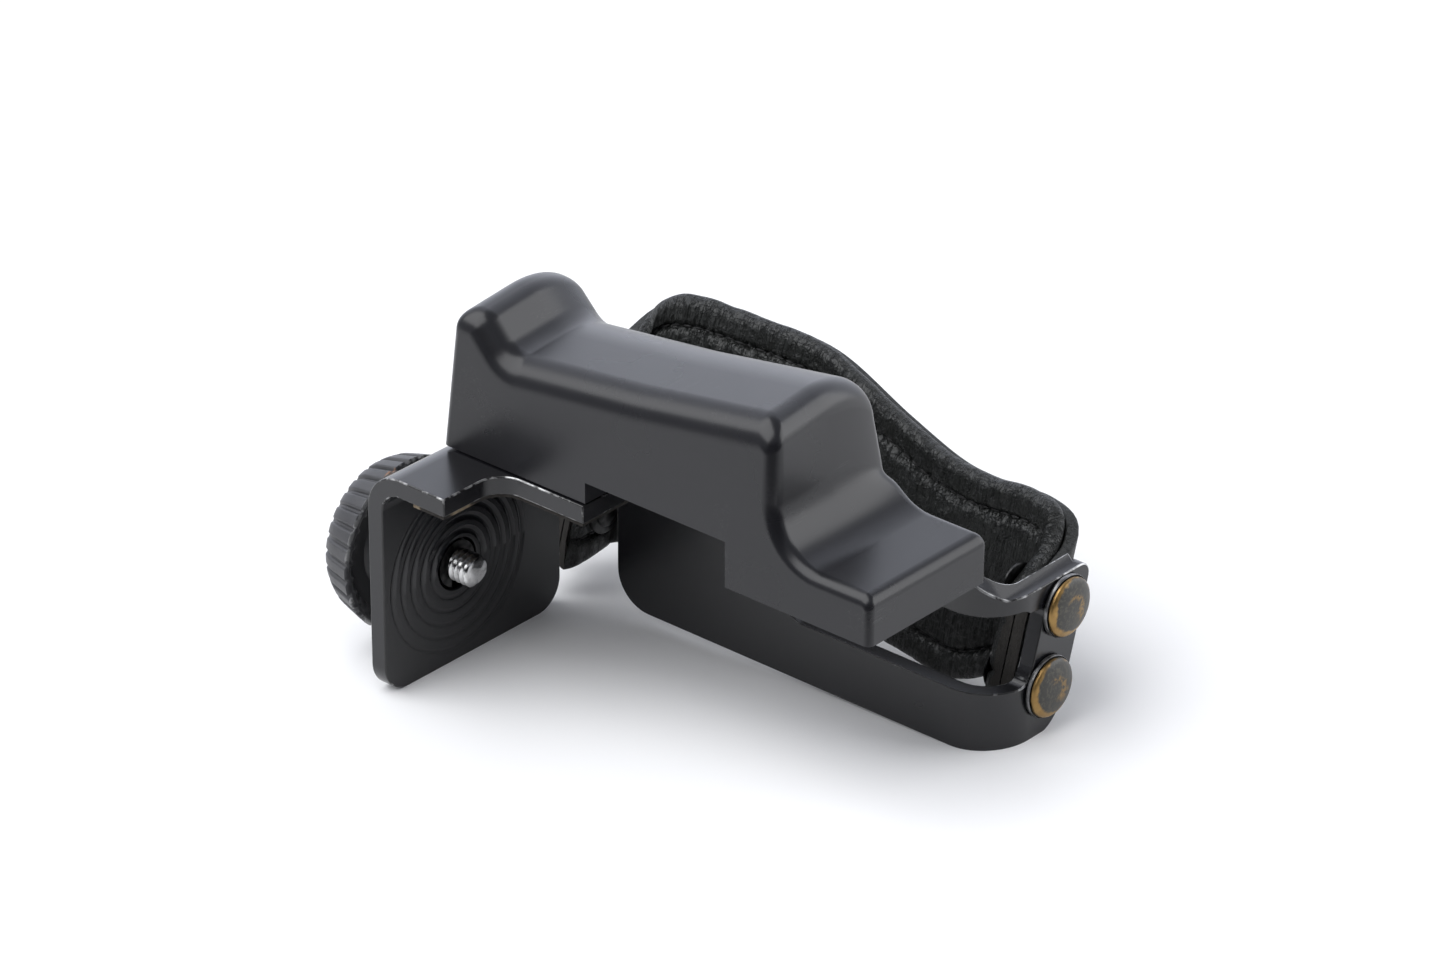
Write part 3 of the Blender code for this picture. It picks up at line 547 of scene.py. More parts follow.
def turned(profile, segments=96, centre=(0, 0, 0), closed=False):
    """Spins (position, radius) points about the X axis through centre."""
    drawn = bmesh.new()
    verts = [drawn.verts.new((radius, 0, along)) for along, radius in profile]
    ends = list(zip(verts, verts[1:] + verts[:1])) if closed else list(zip(verts, verts[1:]))
    edges = [drawn.edges.new(pair) for pair in ends]
    bmesh.ops.spin(
        drawn, geom=verts + edges, cent=(0, 0, 0), axis=(0, 0, 1),
        angle=2 * math.pi, steps=segments, use_merge=True,
    )
    bmesh.ops.remove_doubles(drawn, verts=drawn.verts, dist=1e-4)
    turn = Matrix.Rotation(math.radians(90), 4, "Y")
    bmesh.ops.transform(drawn, matrix=Matrix.Translation(centre) @ turn, verts=drawn.verts)
    return drawn


def as_object(name, drawn, *finishes, sharp=35, matrix=PLACE):
    """Turns a drawing in local millimetres into an object in the frame's metres."""
    bmesh.ops.remove_doubles(drawn, verts=drawn.verts, dist=1e-5)
    bmesh.ops.recalc_face_normals(drawn, faces=drawn.faces)
    bmesh.ops.transform(drawn, matrix=matrix, verts=drawn.verts)
    mesh = bpy.data.meshes.new(name)
    drawn.to_mesh(mesh)
    drawn.free()
    mesh.shade_smooth()
    mesh.set_sharp_from_angle(angle=math.radians(sharp))
    for finish in finishes:
        mesh.materials.append(finish)
    obj = bpy.data.objects.new(name, mesh)
    bpy.context.scene.collection.objects.link(obj)
    return obj


def settle(obj):
    """Keeps what the modifiers make as the object's own mesh."""
    graph = bpy.context.evaluated_depsgraph_get()
    mesh = bpy.data.meshes.new_from_object(obj.evaluated_get(graph))
    obj.modifiers.clear()
    obj.data = mesh
    return obj


def carve(obj, *drawings):
    """Cuts drawings out of an object."""
    cutters = [as_object(f"cutter_{i}", drawn) for i, drawn in enumerate(drawings)]
    for cutter in cutters:
        modifier = obj.modifiers.new("cut", "BOOLEAN")
        modifier.operation = "DIFFERENCE"
        modifier.solver = "EXACT"
        modifier.object = cutter
    settle(obj)
    for cutter in cutters:
        bpy.data.objects.remove(cutter, do_unlink=True)
    return obj


def break_edges(obj, width_mm, segments=3, finish=1):
    """Rounds every sharp edge a little; the rounding takes the worn finish."""
    modifier = obj.modifiers.new("edges", "BEVEL")
    modifier.width = width_mm * MM
    modifier.segments = segments
    modifier.limit_method = "ANGLE"
    modifier.angle_limit = math.radians(40)
    modifier.use_clamp_overlap = False
    modifier.material = finish
    return settle(obj)


def even_shading(obj, sharp=50):
    """Flat faces stay flat beside their rounded edges."""
    obj.data.shade_smooth()
    obj.data.set_sharp_from_angle(angle=math.radians(sharp))
    modifier = obj.modifiers.new("shading", "WEIGHTED_NORMAL")
    modifier.keep_sharp = True
    return settle(obj)


def hand_over(obj, body, slot, *nodes):
    """Hangs a finished piece on what it rides on and hides the solids that it stands for; slot, for
    its finish, is not used.
    """
    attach(obj, body)
    if nodes:
        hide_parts(*nodes)


# ---- geometry trees --------------------------------------------------------------------------


def new_tree(name, **inputs):
    """A Geometry Nodes tree with named inputs, given as socket type and default."""
    tree = bpy.data.node_groups.new(name, "GeometryNodeTree")
    tree.interface.new_socket("Geometry", in_out="INPUT", socket_type="NodeSocketGeometry")
    for label, kind in inputs.items():
        tree.interface.new_socket(label, in_out="INPUT", socket_type=f"NodeSocket{kind}")
    tree.interface.new_socket("Geometry", in_out="OUTPUT", socket_type="NodeSocketGeometry")
    sketch = Sketch(tree)
    first = sketch.add("NodeGroupInput")
    return sketch, {label: first.other(label) for label in ("Geometry", *inputs)}


def close_tree(sketch, shape, finish):
    real = sketch.add("GeometryNodeRealizeInstances", {}, {"Geometry": shape})
    done = sketch.add("GeometryNodeSetMaterial", {}, {"Geometry": real, "Material": finish})
    sketch.add("NodeGroupOutput", {}, [done])
    return sketch.tree


def grow(obj, tree, **inputs):
    """Runs a tree on an object and keeps what it makes."""
    modifier = obj.modifiers.new(tree.name, "NODES")
    modifier.node_group = tree
    for item in tree.interface.items_tree:
        if item.in_out == "INPUT" and item.name in inputs:
            modifier[item.identifier] = inputs[item.name]
    return settle(obj)


def about_axis(sketch, axis):
    """A point's place along X and round it, seen from a point on the axis."""
    here = sketch.add("GeometryNodeInputPosition")
    away = sketch.add("ShaderNodeVectorMath", {"operation": "SUBTRACT"}, [here, axis])
    x, y, z = sketch.parts(away)
    radius = (y * y + z * z).math("SQRT")
    return x, y, z, radius, z.math("ARCTAN2", y) / (2 * math.pi)


def moved_out(sketch, shape, y, z, radius, distance):
    """Moves points away from the axis by a distance."""
    sockets = {"Y": y / radius * distance, "Z": z / radius * distance}
    offset = sketch.add("ShaderNodeCombineXYZ", {}, sockets)
    return sketch.add("GeometryNodeSetPosition", {}, {"Geometry": shape, "Offset": offset})


def ribs_tree():
    """Cuts even grooves round a turned rim, leaving flat lands between them."""
    sketch, given = new_tree(
        "ribbed_rim", Axis="Vector", Ribs="Float", Share="Float", Depth="Float", Inside="Float",
        Finish="Material",
    )
    _, y, z, radius, turn = about_axis(sketch, given["Axis"])
    part = (turn * given["Ribs"]).math("FRACT")
    off = (part - 0.5).math("ABSOLUTE")
    groove = 1 - sketch.fade(off, given["Share"] * 0.5, given["Share"] * 0.5 + 0.07)
    groove = groove * sketch.fade(radius, given["Inside"], given["Inside"] + 0.0008)
    shape = moved_out(sketch, given["Geometry"], y, z, radius, groove * given["Depth"] * -1.0)
    return close_tree(sketch, shape, given["Finish"])


def thread_tree():
    """Turns the outside of a rod into a screw thread with a chamfered tip."""
    sketch, given = new_tree(
        "screw_thread", Axis="Vector", Radius="Float", Pitch="Float", Depth="Float", Tip="Float",
        Start="Float", Finish="Material",
    )
    x, y, z, radius, turn = about_axis(sketch, given["Axis"])
    phase = (x / given["Pitch"] + turn).math("FRACT")
    flank = ((phase - 0.5).math("ABSOLUTE") * 2.0 - 0.1) / 0.8
    crest = flank.math("MAXIMUM", 0.0).math("MINIMUM", 1.0)
    threaded = given["Radius"] - given["Depth"] * (1 - crest)
    chamfer = given["Radius"] - given["Depth"] * 0.75 + (given["Tip"] - x)
    chamfered = threaded.math("MINIMUM", chamfer)
    outer = radius.math("GREATER_THAN", given["Radius"] * 0.8)
    outside = outer * x.math("GREATER_THAN", given["Start"])
    shape = moved_out(sketch, given["Geometry"], y, z, radius, (chamfered - radius) * outside)
    return close_tree(sketch, shape, given["Finish"])


def set_out_tree():
    """Sets copies of a template on points, its X axis along each point's facing."""
    sketch, given = new_tree(
        "set_out_on_points", Template="Object", Reach="Float", Finish="Material",
    )
    template = sketch.add("GeometryNodeObjectInfo", {}, {"Object": given["Template"]}, "Geometry")
    here = sketch.add("GeometryNodeInputPosition")
    disc = sketch.add(
        "ShaderNodeVectorMath", {"operation": "SCALE"}, {0: here, "Scale": 1 / given["Reach"]}
    )
    marked = sketch.add(
        "GeometryNodeStoreNamedAttribute", {"data_type": "FLOAT_VECTOR", "domain": "POINT"},
        {"Geometry": template, "Name": "disc", "Value": disc},
    )
    facing = sketch.add(
        "GeometryNodeInputNamedAttribute", {"data_type": "FLOAT_VECTOR"}, {"Name": "facing"}
    )
    turn = sketch.add("FunctionNodeAlignRotationToVector", {"axis": "X"}, {"Vector": facing})
    copies = sketch.add(
        "GeometryNodeInstanceOnPoints", {},
        {"Points": given["Geometry"], "Instance": marked, "Rotation": turn},
    )
    return close_tree(sketch, copies, given["Finish"])


def stitch_tree():
    """Lays stitches end to end along a seam, each dipping into the leather at its ends."""
    sketch, given = new_tree(
        "stitches_along_seam", Template="Object", Spacing="Float", Finish="Material",
    )
    path = sketch.add("GeometryNodeMeshToCurve", {}, {"Mesh": given["Geometry"]})
    spaced = sketch.add(
        "GeometryNodeResampleCurve", {"mode": "LENGTH"}, {"Curve": path, "Length": given["Spacing"]}
    )
    tangent = sketch.add("GeometryNodeInputTangent")
    turn = sketch.add("FunctionNodeAlignRotationToVector", {"axis": "X"}, {"Vector": tangent})
    template = sketch.add("GeometryNodeObjectInfo", {}, {"Object": given["Template"]}, "Geometry")
    copies = sketch.add(
        "GeometryNodeInstanceOnPoints", {},
        {"Points": spaced, "Instance": template, "Rotation": turn},
    )
    return close_tree(sketch, copies, given["Finish"])


def set_out(name, template, places, tree, reach, finish):
    """One object of copies of a template; places are (local point, facing)."""
    mesh = bpy.data.meshes.new(name)
    mesh.from_pydata([PLACE @ Vector(point) for point, _ in places], [], [])
    facings = mesh.attributes.new("facing", "FLOAT_VECTOR", "POINT")
    for item, (_, facing) in zip(facings.data, places):
        item.vector = facing
    obj = bpy.data.objects.new(name, mesh)
    bpy.context.scene.collection.objects.link(obj)
    return grow(obj, tree, Template=template, Reach=reach, Finish=finish)


# ---- bracket ---------------------------------------------------------------------------------


def make_bracket(finishes):
    low, high = local_box("angle_bracket")
    inner = BRACKET_BEND - PLATE_THICK
    centre = (inner, high.z - BRACKET_BEND)
    under = high.z - FLANGE_THICK
    profile = [(0.0, low.z), (-PLATE_THICK, low.z)] + arc(centre, BRACKET_BEND, 180, 90, 16)
    profile += [(high.x, high.z), (high.x, under)] + arc(centre, inner - 0.1, 90, 180, 12)
    plate = as_object(
        "bracket_plate", prism(profile, low.y, high.y), finishes["paint"], finishes["worn_bracket"]
    )
    fillet = arc((NOTCH_X + NOTCH_FILLET, NOTCH_Y - NOTCH_FILLET), NOTCH_FILLET, 180, 90, 12)
    notch = [(NOTCH_X, low.y - 5)] + fillet + [(50, NOTCH_Y), (50, low.y - 5)]
    cuts = [prism(notch, 15, 35, "XY")]
    for y, side in ((low.y, 1), (high.y, -1)):
        start, end = (180, 270) if side > 0 else (0, -90)
        edge = arc((y + side * PLATE_CORNER, low.z + PLATE_CORNER), PLATE_CORNER, start, end, 12)
        corner = edge + [(y + side * PLATE_CORNER, low.z - 3), (y - side * 3, low.z - 3)]
        cuts.append(prism(corner + [(y - side * 3, low.z + PLATE_CORNER)], -8, 4, "YZ"))
    carve(plate, *cuts)
    break_edges(plate, EDGE_BREAK)
    pocket = [(-8, 0), (-8, PLATE_HOLE_R), (-CLIP_POCKET_DEPTH, PLATE_HOLE_R)]
    pocket += [(-CLIP_POCKET_DEPTH, CLIP_POCKET_R), (-0.3, CLIP_POCKET_R)]
    pocket += [(0.1, CLIP_POCKET_R + 0.4), (1, CLIP_POCKET_R + 0.4), (1, 0)]
    cuts = [turned(pocket)]
    for radius in RING_RADII:
        small = radius - RING_WIDTH
        groove = [(-RING_DEPTH, small + 0.55), (-RING_DEPTH, radius - 0.55)]
        groove += [(0.05, radius), (0.6, radius), (0.6, small), (0.05, small)]
        cuts.append(turned(groove, 128, closed=True))
    carve(plate, *cuts)
    even_shading(plate)
    hand_over(plate, "grip_frame", "black_paint", "angle_bracket")


# ---- screw and knob --------------------------------------------------------------------------


def make_mount_screw(finishes):
    tip = local_box("mount_screw")[1].x
    back = local_box("knob")[0].x
    clip_front, clip_back = -0.1, -1.1
    rows = 110
    profile = [(tip, 0), (tip, THREAD_R - THREAD_DEPTH * 0.75)]
    profile += [(tip - 0.01 - (tip - clip_front) * k / rows, THREAD_R) for k in range(rows)]
    profile += [(clip_front, THREAD_R - THREAD_DEPTH), (clip_front, NECK_R), (clip_back, NECK_R)]
    profile += [(clip_back, SHANK_R), (back + 2.2, SHANK_R), (back + 2.2, 5.3), (back + 2.0, 5.6)]
    profile += [(back + 0.9, 5.6), (back + 0.6, 5.3), (back + 0.6, 0)]
    screw = as_object("captive_screw", turned(profile, 96), finishes["steel"])
    carve(screw, prism(box_outline(-0.8, 0.8, -8, 8), back - 1, back + 1.5, "YZ"))
    grow(
        screw, thread_tree(), Axis=ORIGIN, Radius=THREAD_R * MM, Pitch=THREAD_PITCH * MM,
        Depth=THREAD_DEPTH * MM, Tip=tip * MM, Start=clip_front * MM, Finish=finishes["steel"],
    )
    screw.data.set_sharp_from_angle(angle=math.radians(80))
    hand_over(screw, "knob_screw", "bright_steel", "mount_screw")


def make_knob(finishes):
    low, high = local_box("knob")
    front, back = high.x, low.x
    rim, tail = high.y, 14.5
    profile = [(front - 0.9, 5.3), (front - 0.9, 9.0), (front - 2.0, 10.0), (front - 2.0, 13.4)]
    profile += [(front - 0.5, 15.0), (front - 0.1, 15.4), (front, 15.7), (front, rim - 0.6)]
    profile += [(front - 0.08, rim - 0.3), (front - 0.3, rim)]
    profile += [(front - 2.4, rim - 0.55), (front - 4.2, rim - 1.0), (front - 5.6, rim - 1.4)]
    profile += [(back + 0.9, tail + 0.25), (back + 0.25, tail - 0.2), (back, tail - 0.9)]
    profile += [(back, 6.8), (back + 0.3, 6.3), (back + 2.2, 6.0), (back + 2.2, 5.3)]
    spun = turned(profile, KNOB_LANDS * STEPS_PER_LAND, closed=True)
    knob = as_object("ribbed_knob", spun, finishes["ribbed"])
    grow(
        knob, ribs_tree(), Axis=ORIGIN, Ribs=float(KNOB_LANDS), Share=0.2, Depth=GROOVE_DEPTH * MM,
        Inside=13.5 * MM, Finish=finishes["ribbed"],
    )
    knob.data.set_sharp_from_angle(angle=math.radians(40))
    hand_over(knob, "knob_screw", "moulding", "knob")


def make_hub(finishes):
    low, high = local_box("knob_hub")
    bore, collar_end = SHANK_R + 0.25, local_box("knob")[1].x + 0.3
    profile = [(high.x, bore), (high.x, HUB_R - 0.5), (high.x - 0.5, HUB_R), (collar_end, HUB_R)]
    profile += [(collar_end, 5.0), (low.x, 5.0), (low.x, bore)]
    hub = as_object("hub_collar", turned(profile, closed=True), finishes["steel"])
    hand_over(hub, "knob_screw", "bright_steel", "knob_hub")
    low, high = local_box("thrust_washer")
    ring = [(low.x, SHANK_R + 0.3), (low.x, 9.3), (low.x + 0.2, 9.5), (high.x - 0.2, 9.5)]
    ring += [(high.x, 9.3), (high.x, SHANK_R + 0.3)]
    washer = as_object("thrust_ring", turned(ring, closed=True), finishes["nylon"])
    hand_over(washer, "washer_carriage", "washer", "thrust_washer")


# ---- grip body -------------------------------------------------------------------------------


def grip_corners():
    """x, z, corner radius and rounding of the edge to the next corner, from the lower left."""
    low, high = local_box("grip_shell")
    bracket_end = local_box("angle_bracket")[1].x
    base = local_box("angle_bracket")[1].z + 0.3
    return (
        (low.x, base, 0, 1.6),
        (4.6, 55.2, 4.0, 4.5),
        (10.6, 54.8, 4.0, 5.0),
        (16.2, 48.4, 5.0, SHOULDER),
        (46.0, 52.0, 0, SHOULDER),
        (79.6, 57.4, 4.6, 2.8),
        (78.8, 31.5, 9.8, 2.4),
        (95.0, 31.5, 0, 2.2),
        (high.x, 31.5, 2.4, 1.4),
        (high.x, FOOT_BASE, 0, 0),
        (FOOT_START, FOOT_BASE, 0, 0),
        (FOOT_START, RECESS_BASE, 0, 0),
        (bracket_end, RECESS_BASE, 0, 0),
        (bracket_end, base, 0, 0),
    )


def grip_outline(corners, insets):
    """The grip's side outline with each edge moved inwards by its own distance."""
    moved = []
    for i, (x, z, radius, _) in enumerate(corners):
        here = Vector((x, z))
        before = (here - Vector(corners[i - 1][:2])).normalized()
        after = (Vector(corners[(i + 1) % len(corners)][:2]) - here).normalized()
        turn = before.cross(after)
        in_before, in_after = insets[i - 1], insets[i]
        if abs(turn) < 0.15:
            point = here + Vector((after.y, -after.x)) * (in_before + in_after) / 2
        else:
            point = here + (before * in_after - after * in_before) / turn
        spread = (in_before + in_after) / 2
        bend = max(0.5, radius - spread) if turn < 0 else radius + spread
        moved.append((point.x, point.y, bend if radius else 0))
    return rounded(moved, CORNER_STEPS)


def edge_roundings(corners):
    """How far the rounding reaches across Y at each point of the grip's outline."""
    reaches = []
    for i, (_, _, radius, after) in enumerate(corners):
        before = corners[i - 1][3]
        if not radius:
            reaches.append(max(before, after))
            continue
        for k in range(CORNER_STEPS + 1):
            reaches.append(before + (after - before) * ease(k, 0, CORNER_STEPS))
    return reaches


def crowned(x, y, z, front, back):
    """A point of the plain body, moved so that the top falls and leans left towards the back."""
    share = min(1.0, max(0.0, 1 - (back - y) / CROWN_REACH))
    drop = CROWN_DROP * (1 - math.sqrt(1 - share * share)) * ease(z, CROWN_LOW, CROWN_HIGH)
    aside = SKEW * (y - front) / (back - front) * ease(z, SKEW_LOW, SKEW_HIGH)
    return (x - aside, y, z - drop)


def make_grip_body(finishes):
    """Rings across Y: the rounded front edge, the crowned top and a small rounding at the back."""
    low, high = local_box("grip_shell")
    corners = grip_corners()
    edges = [corner[3] for corner in corners]
    small = [min(edge, BACK_ROUNDING) for edge in edges]
    reaches = edge_roundings(corners)
    turns = [math.radians(90 * k / SHOULDER_STEPS) for k in range(SHOULDER_STEPS + 1)]
    start, length = high.y - CROWN_REACH, CROWN_REACH - BACK_ROUNDING
    columns = [(a, low.y, 1) for a in reversed(turns)]
    columns += [
        (0, start + length * math.sin(math.radians(90 * k / CROWN_STEPS)), 0)
        for k in range(CROWN_STEPS)
    ]
    columns += [(a, high.y, -1) for a in turns]
    drawn = bmesh.new()
    rows = []
    for angle, y, side in columns:
        insets = [e * (1 - math.cos(angle)) for e in (small if side < 0 else edges)]
        ring = grip_outline(corners, insets)
        row = []
        for (px, pz), reach in zip(ring, reaches):
            depth = min(reach, BACK_ROUNDING) if side < 0 else reach
            here = y + side * depth * (1 - math.sin(angle))
            row.append(drawn.verts.new(crowned(px, here, pz, low.y, high.y)))
        rows.append(row)
    skin_rows(drawn, rows, closed=True)
    body = as_object("grip_body", drawn, finishes["moulding"])
    carve(body, prism(CAVITY, low.y + WALL, high.y + 5))
    even_shading(body, 40)
    hand_over(body, "grip_frame", "moulding", "grip_shell")


# ---- frame -----------------------------------------------------------------------------------


def leaning(y, z):
    """Y at height z on a line that leans back with height, as the tabs and the strap do."""
    return y + LEAN * z


def sheared(drawn, limit=-1e9):
    for vert in drawn.verts:
        if vert.co.y >= limit:
            vert.co.y = leaning(vert.co.y, vert.co.z)
    return drawn


def frame_plan(low, high):
    """The frame seen from above: left tab, bend, panel, bend, right tab, as one thick line."""
    front, reach = low.y, 64.0
    left = (low.x + LEFT_BEND, front + LEFT_BEND)
    right = (high.x - RIGHT_BEND, front + RIGHT_BEND)
    plan = [(low.x, reach)] + arc(left, LEFT_BEND, 180, 270, 14)
    plan += arc(right, RIGHT_BEND, 270, 360, 18)
    plan += [(high.x, reach), (high.x - FRAME_THICK, reach)]
    plan += arc(right, RIGHT_BEND - FRAME_THICK, 360, 270, 18)
    plan += arc(left, LEFT_BEND - FRAME_THICK, 270, 180, 14)
    return plan + [(low.x + FRAME_THICK, reach)]


def make_frame(finishes):
    low, high = local_box("frame_plate")
    plate = as_object(
        "frame_strip", prism(frame_plan(low, high), low.z, high.z + 1, "XY"),
        finishes["paint"], finishes["worn_frame"],
    )
    above = [(-20, ARM_HIGH), (LUG_LEFT, ARM_HIGH)]
    above += arc((LUG_LEFT + LUG_CORNER, high.z - LUG_CORNER), LUG_CORNER, 180, 90, 10)
    above += arc((LUG_RIGHT - LUG_CORNER, high.z - LUG_CORNER), LUG_CORNER, 90, 0, 10)
    above += [(LUG_RIGHT, FRAME_TOP), (high.x - 7, FRAME_TOP), (high.x - 1.5, TAB_TOP)]
    above += [(120, TAB_TOP), (120, high.z + 5), (-20, high.z + 5)]
    foot = FRAME_LEFT + PANEL_CORNER
    beside = [(FRAME_LEFT, ARM_LOW)] + arc((foot, low.z + PANEL_CORNER), PANEL_CORNER, 180, 270, 12)
    beside += [(foot, low.z - 5), (-20, low.z - 5), (-20, ARM_LOW)]
    opening = box_outline(WINDOW_LEFT, WINDOW_LEFT + 70, WINDOW_LOW, WINDOW_HIGH, 4.0)
    round_end = box_outline(18, WINDOW_END, WINDOW_LOW, WINDOW_HIGH, WINDOW_CORNER)
    cuts = [prism(above, 20, 72), prism(beside, 20, 36.5)]
    cuts.append(prism(opening, 20, WINDOW_END - WINDOW_CORNER))
    end_cut = prism(round_end, high.x - RIGHT_BEND, high.x + 5, "YZ")
    cuts.append(sheared(end_cut, low.y + RIGHT_BEND))
    for start, end, foot, top in (
        (80, RIGHT_TAB_END, low.z, TAB_TOP), (-20, LEFT_TAB_END, low.z + 1, ARM_HIGH)
    ):
        tip = arc((end - TIP_LOW_R, foot + TIP_LOW_R), TIP_LOW_R, 270, 360, 10)
        tip += arc((end - TIP_HIGH_R, top - TIP_HIGH_R), TIP_HIGH_R, 0, 90, 10)
        tip += [(end - TIP_HIGH_R, top + 20), (92, top + 20), (92, foot - 20)]
        tip += [(end - TIP_LOW_R, foot - 20)]
        cuts.append(sheared(prism(tip, start, start + 40, "YZ")))
    carve(plate, *cuts)
    break_edges(plate, EDGE_BREAK)
    # Known fault: at the two left rivets this second cut adds the cylinders to the plate, so a
    # solid stick stands there where a hole should be. The two right holes are cut correctly.
    bore = [(-HOLE_REACH, 0), (-HOLE_REACH, RIVET_HOLE_R)]
    bore += [(HOLE_REACH, RIVET_HOLE_R), (HOLE_REACH, 0)]
    holes = [turned(bore, 32, (face, leaning(y, z), z)) for face, _, y, z in RIVETS.values()]
    carve(plate, *holes)
    even_shading(plate)
    hand_over(plate, "grip_frame", "black_paint", "frame_plate")


# ---- strap -----------------------------------------------------------------------------------


def smooth(stations, steps):
    """Catmull-Rom curve through the stations."""
    rows = [Vector(s) for s in stations]
    rows = [2 * rows[0] - rows[1]] + rows + [2 * rows[-1] - rows[-2]]
    points = []
    for a, b, c, d in zip(rows, rows[1:], rows[2:], rows[3:]):
        for k in range(steps):
            t = k / steps
            bend = (2 * a - 5 * b + 4 * c - d) * t * t + (3 * b - a - 3 * c + d) * t ** 3
            points.append(0.5 * (2 * b + (c - a) * t + bend))
    return points + [rows[-2]]


class Station:
    """A place along the strap: middle point, direction to the hand, edges and run."""

    def __init__(self, here, behind, ahead, run, total):
        along = Vector((ahead[0] - behind[0], ahead[1] - behind[1])).normalized()
        self.middle, self.inside = Vector(here[:2]), Vector((along.y, -along.x))
        self.low, self.high, self.run = here[2], here[3], run
        inwards = ease(min(run, total - run), MARGIN_FROM, MARGIN_FULL)
        self.margin = END_MARGIN + (BELT_MARGIN - END_MARGIN) * inwards

    def point(self, depth, z):
        """A point depth millimetres from the middle line towards the hand."""
        flat = self.middle + self.inside * depth
        return Vector((flat.x, leaning(flat.y, z), z))


def strap_line(spacing):
    """Stations at even spacing along the strap."""
    points = smooth(STRAP_STATIONS, 24)
    runs = [0.0]
    for one, two in zip(points, points[1:]):
        runs.append(runs[-1] + (Vector(two[:2]) - Vector(one[:2])).length)
    count = round(runs[-1] / spacing)
    line, at = [], 0
    for i in range(count + 1):
        run = runs[-1] * i / count
        while at < len(runs) - 2 and runs[at + 1] < run:
            at += 1
        share = (run - runs[at]) / (runs[at + 1] - runs[at])
        line.append(points[at].lerp(points[at + 1], share))
    last = len(line) - 1
    return [
        Station(line[i], line[max(i - 1, 0)], line[min(i + 1, last)], runs[-1] * i / last, runs[-1])
        for i in range(last + 1)
    ]


def sweep(name, line, section, finishes, is_raw):
    """A band whose section(station) lists (depth, z) points round it, with a map of where it lies.

    Faces that is_raw picks take the second finish.
    """
    drawn = bmesh.new()
    lie = drawn.verts.layers.float_vector.new("lie")
    rows = []
    for station in line:
        row = []
        for depth, z in section(station):
            vert = drawn.verts.new(station.point(depth, z))
            vert[lie] = (station.run, z, depth)
            row.append(vert)
        rows.append(row)
    skin_rows(drawn, rows, closed=True)
    drawn.faces.ensure_lookup_table()
    for face in drawn.faces:
        face.material_index = 1 if is_raw(face) else 0
    return as_object(name, drawn, *finishes, sharp=60)


def belt_section(station):
    half, soft = BELT_THICK / 2, 0.5
    low, high = station.low + station.margin, station.high - station.margin
    corners = [(-half, low, soft), (half, low, soft), (half, high, soft), (-half, high, soft)]
    return rounded(corners, 4)


def make_belt(finishes):
    line = strap_line(1.2)
    belt = sweep(
        "strap_belt_leather", line, belt_section, (finishes["belt"], finishes["raw"]),
        lambda face: len(face.verts) > 4 or abs(face.normal.z) > 0.5,
    )
    hand_over(belt, "grip_frame", "leather_belt", "strap_belt")
    heights = [station.high - station.low - 2 * station.margin for station in line]
    area = sum(heights) / len(heights) * line[-1].run * MM * MM
    max(heights) * MM
    line[-1].run * MM


EDGE_STEPS = (
    0.0, 0.12, 0.35, 0.7, 1.15, 1.7, 2.4, 3.2, 3.9, 4.4, 4.8, 5.1,
    SEAM, 5.5, 5.8, 6.2, 6.8, 7.6, 8.6,
)
PAD_MIDDLE = 44
ROLL = 1.9


def crease_depth(run, z, s):
    """How far short creases across the seam pull the leather in at distance s from an edge."""
    strong = 0.35 + 0.65 * math.exp(-(((run - 45) / 24) ** 2))
    strong += 0.3 * math.exp(-(((run - 104) / 18) ** 2))
    wave = abs(noise.noise(Vector((run / 2.3 + z * 0.05, z / 16, 5.0))))
    sharp = max(0.0, 1 - 4.2 * wave) ** 2
    return 0.8 * strong * sharp * math.exp(-abs(s - SEAM) / 3.4)


def pad_section(line_end):
    """The pad's section at a station: rolled edges, a seam near each and soft wrinkles."""
    back = BELT_THICK / 2 + PAD_GAP
    face = back + PAD_THICK
    roll_centre = back + 0.05 + ROLL

    def section(station):
        low, high = station.low, station.high
        end = min(station.run, line_end - station.run)
        plump = math.sqrt(max(0.0, 1 - (1 - min(1.0, (end + 0.25) / 1.6)) ** 2))
        heights = [(low + s, s) for s in EDGE_STEPS]
        first, last = low + EDGE_STEPS[-1], high - EDGE_STEPS[-1]
        heights += [
            (first + (last - first) * k / PAD_MIDDLE, EDGE_STEPS[-1] + min(k, PAD_MIDDLE - k))
            for k in range(1, PAD_MIDDLE)
        ]
        heights += [(high - s, s) for s in reversed(EDGE_STEPS)]
        front, rear = [], []
        for z, s in heights:
            bulge = math.sqrt(max(0.0, ROLL ** 2 - (ROLL - min(s, ROLL)) ** 2))
            depth = roll_centre + bulge + (face - roll_centre - ROLL) * min(1.0, s / 2.4)
            depth -= SEAM_DEPTH * math.exp(-(((s - SEAM) / SEAM_WIDTH) ** 2))
            depth += 0.35 * (1 - math.exp(-max(0.0, s - SEAM - 1) / 2.5))
            run = station.run
            depth += 0.55 * noise.noise(Vector((run / 13, z / 9, 1.0))) * min(1.0, s / 3)
            depth += 0.22 * noise.noise(Vector((run / 4.2, z / 5.5, 9.0))) * min(1.0, s / 2)
            depth -= crease_depth(run, z, s)
            ragged = 0.25 * noise.noise(Vector((run / 5, z / 30, 3.0)))
            behind = roll_centre - bulge if s < ROLL else back
            depth = behind + (depth - behind) * max(0.12, plump)
            shift = ragged * (1 - min(1.0, s / 4)) * (1 if z > (low + high) / 2 else -1)
            front.append((depth, z + shift))
            rear.append((behind, z + shift))
        return front + rear[::-1]

    return section


def make_pad(finishes):
    line = strap_line(0.6)
    section = pad_section(line[-1].run)
    pad = sweep(
        "strap_pad_leather", line, section, (finishes["pad"], finishes["raw"]),
        lambda face: len(face.verts) > 4,
    )
    hand_over(pad, "grip_frame", "leather_pad", "strap_pad")
    return line


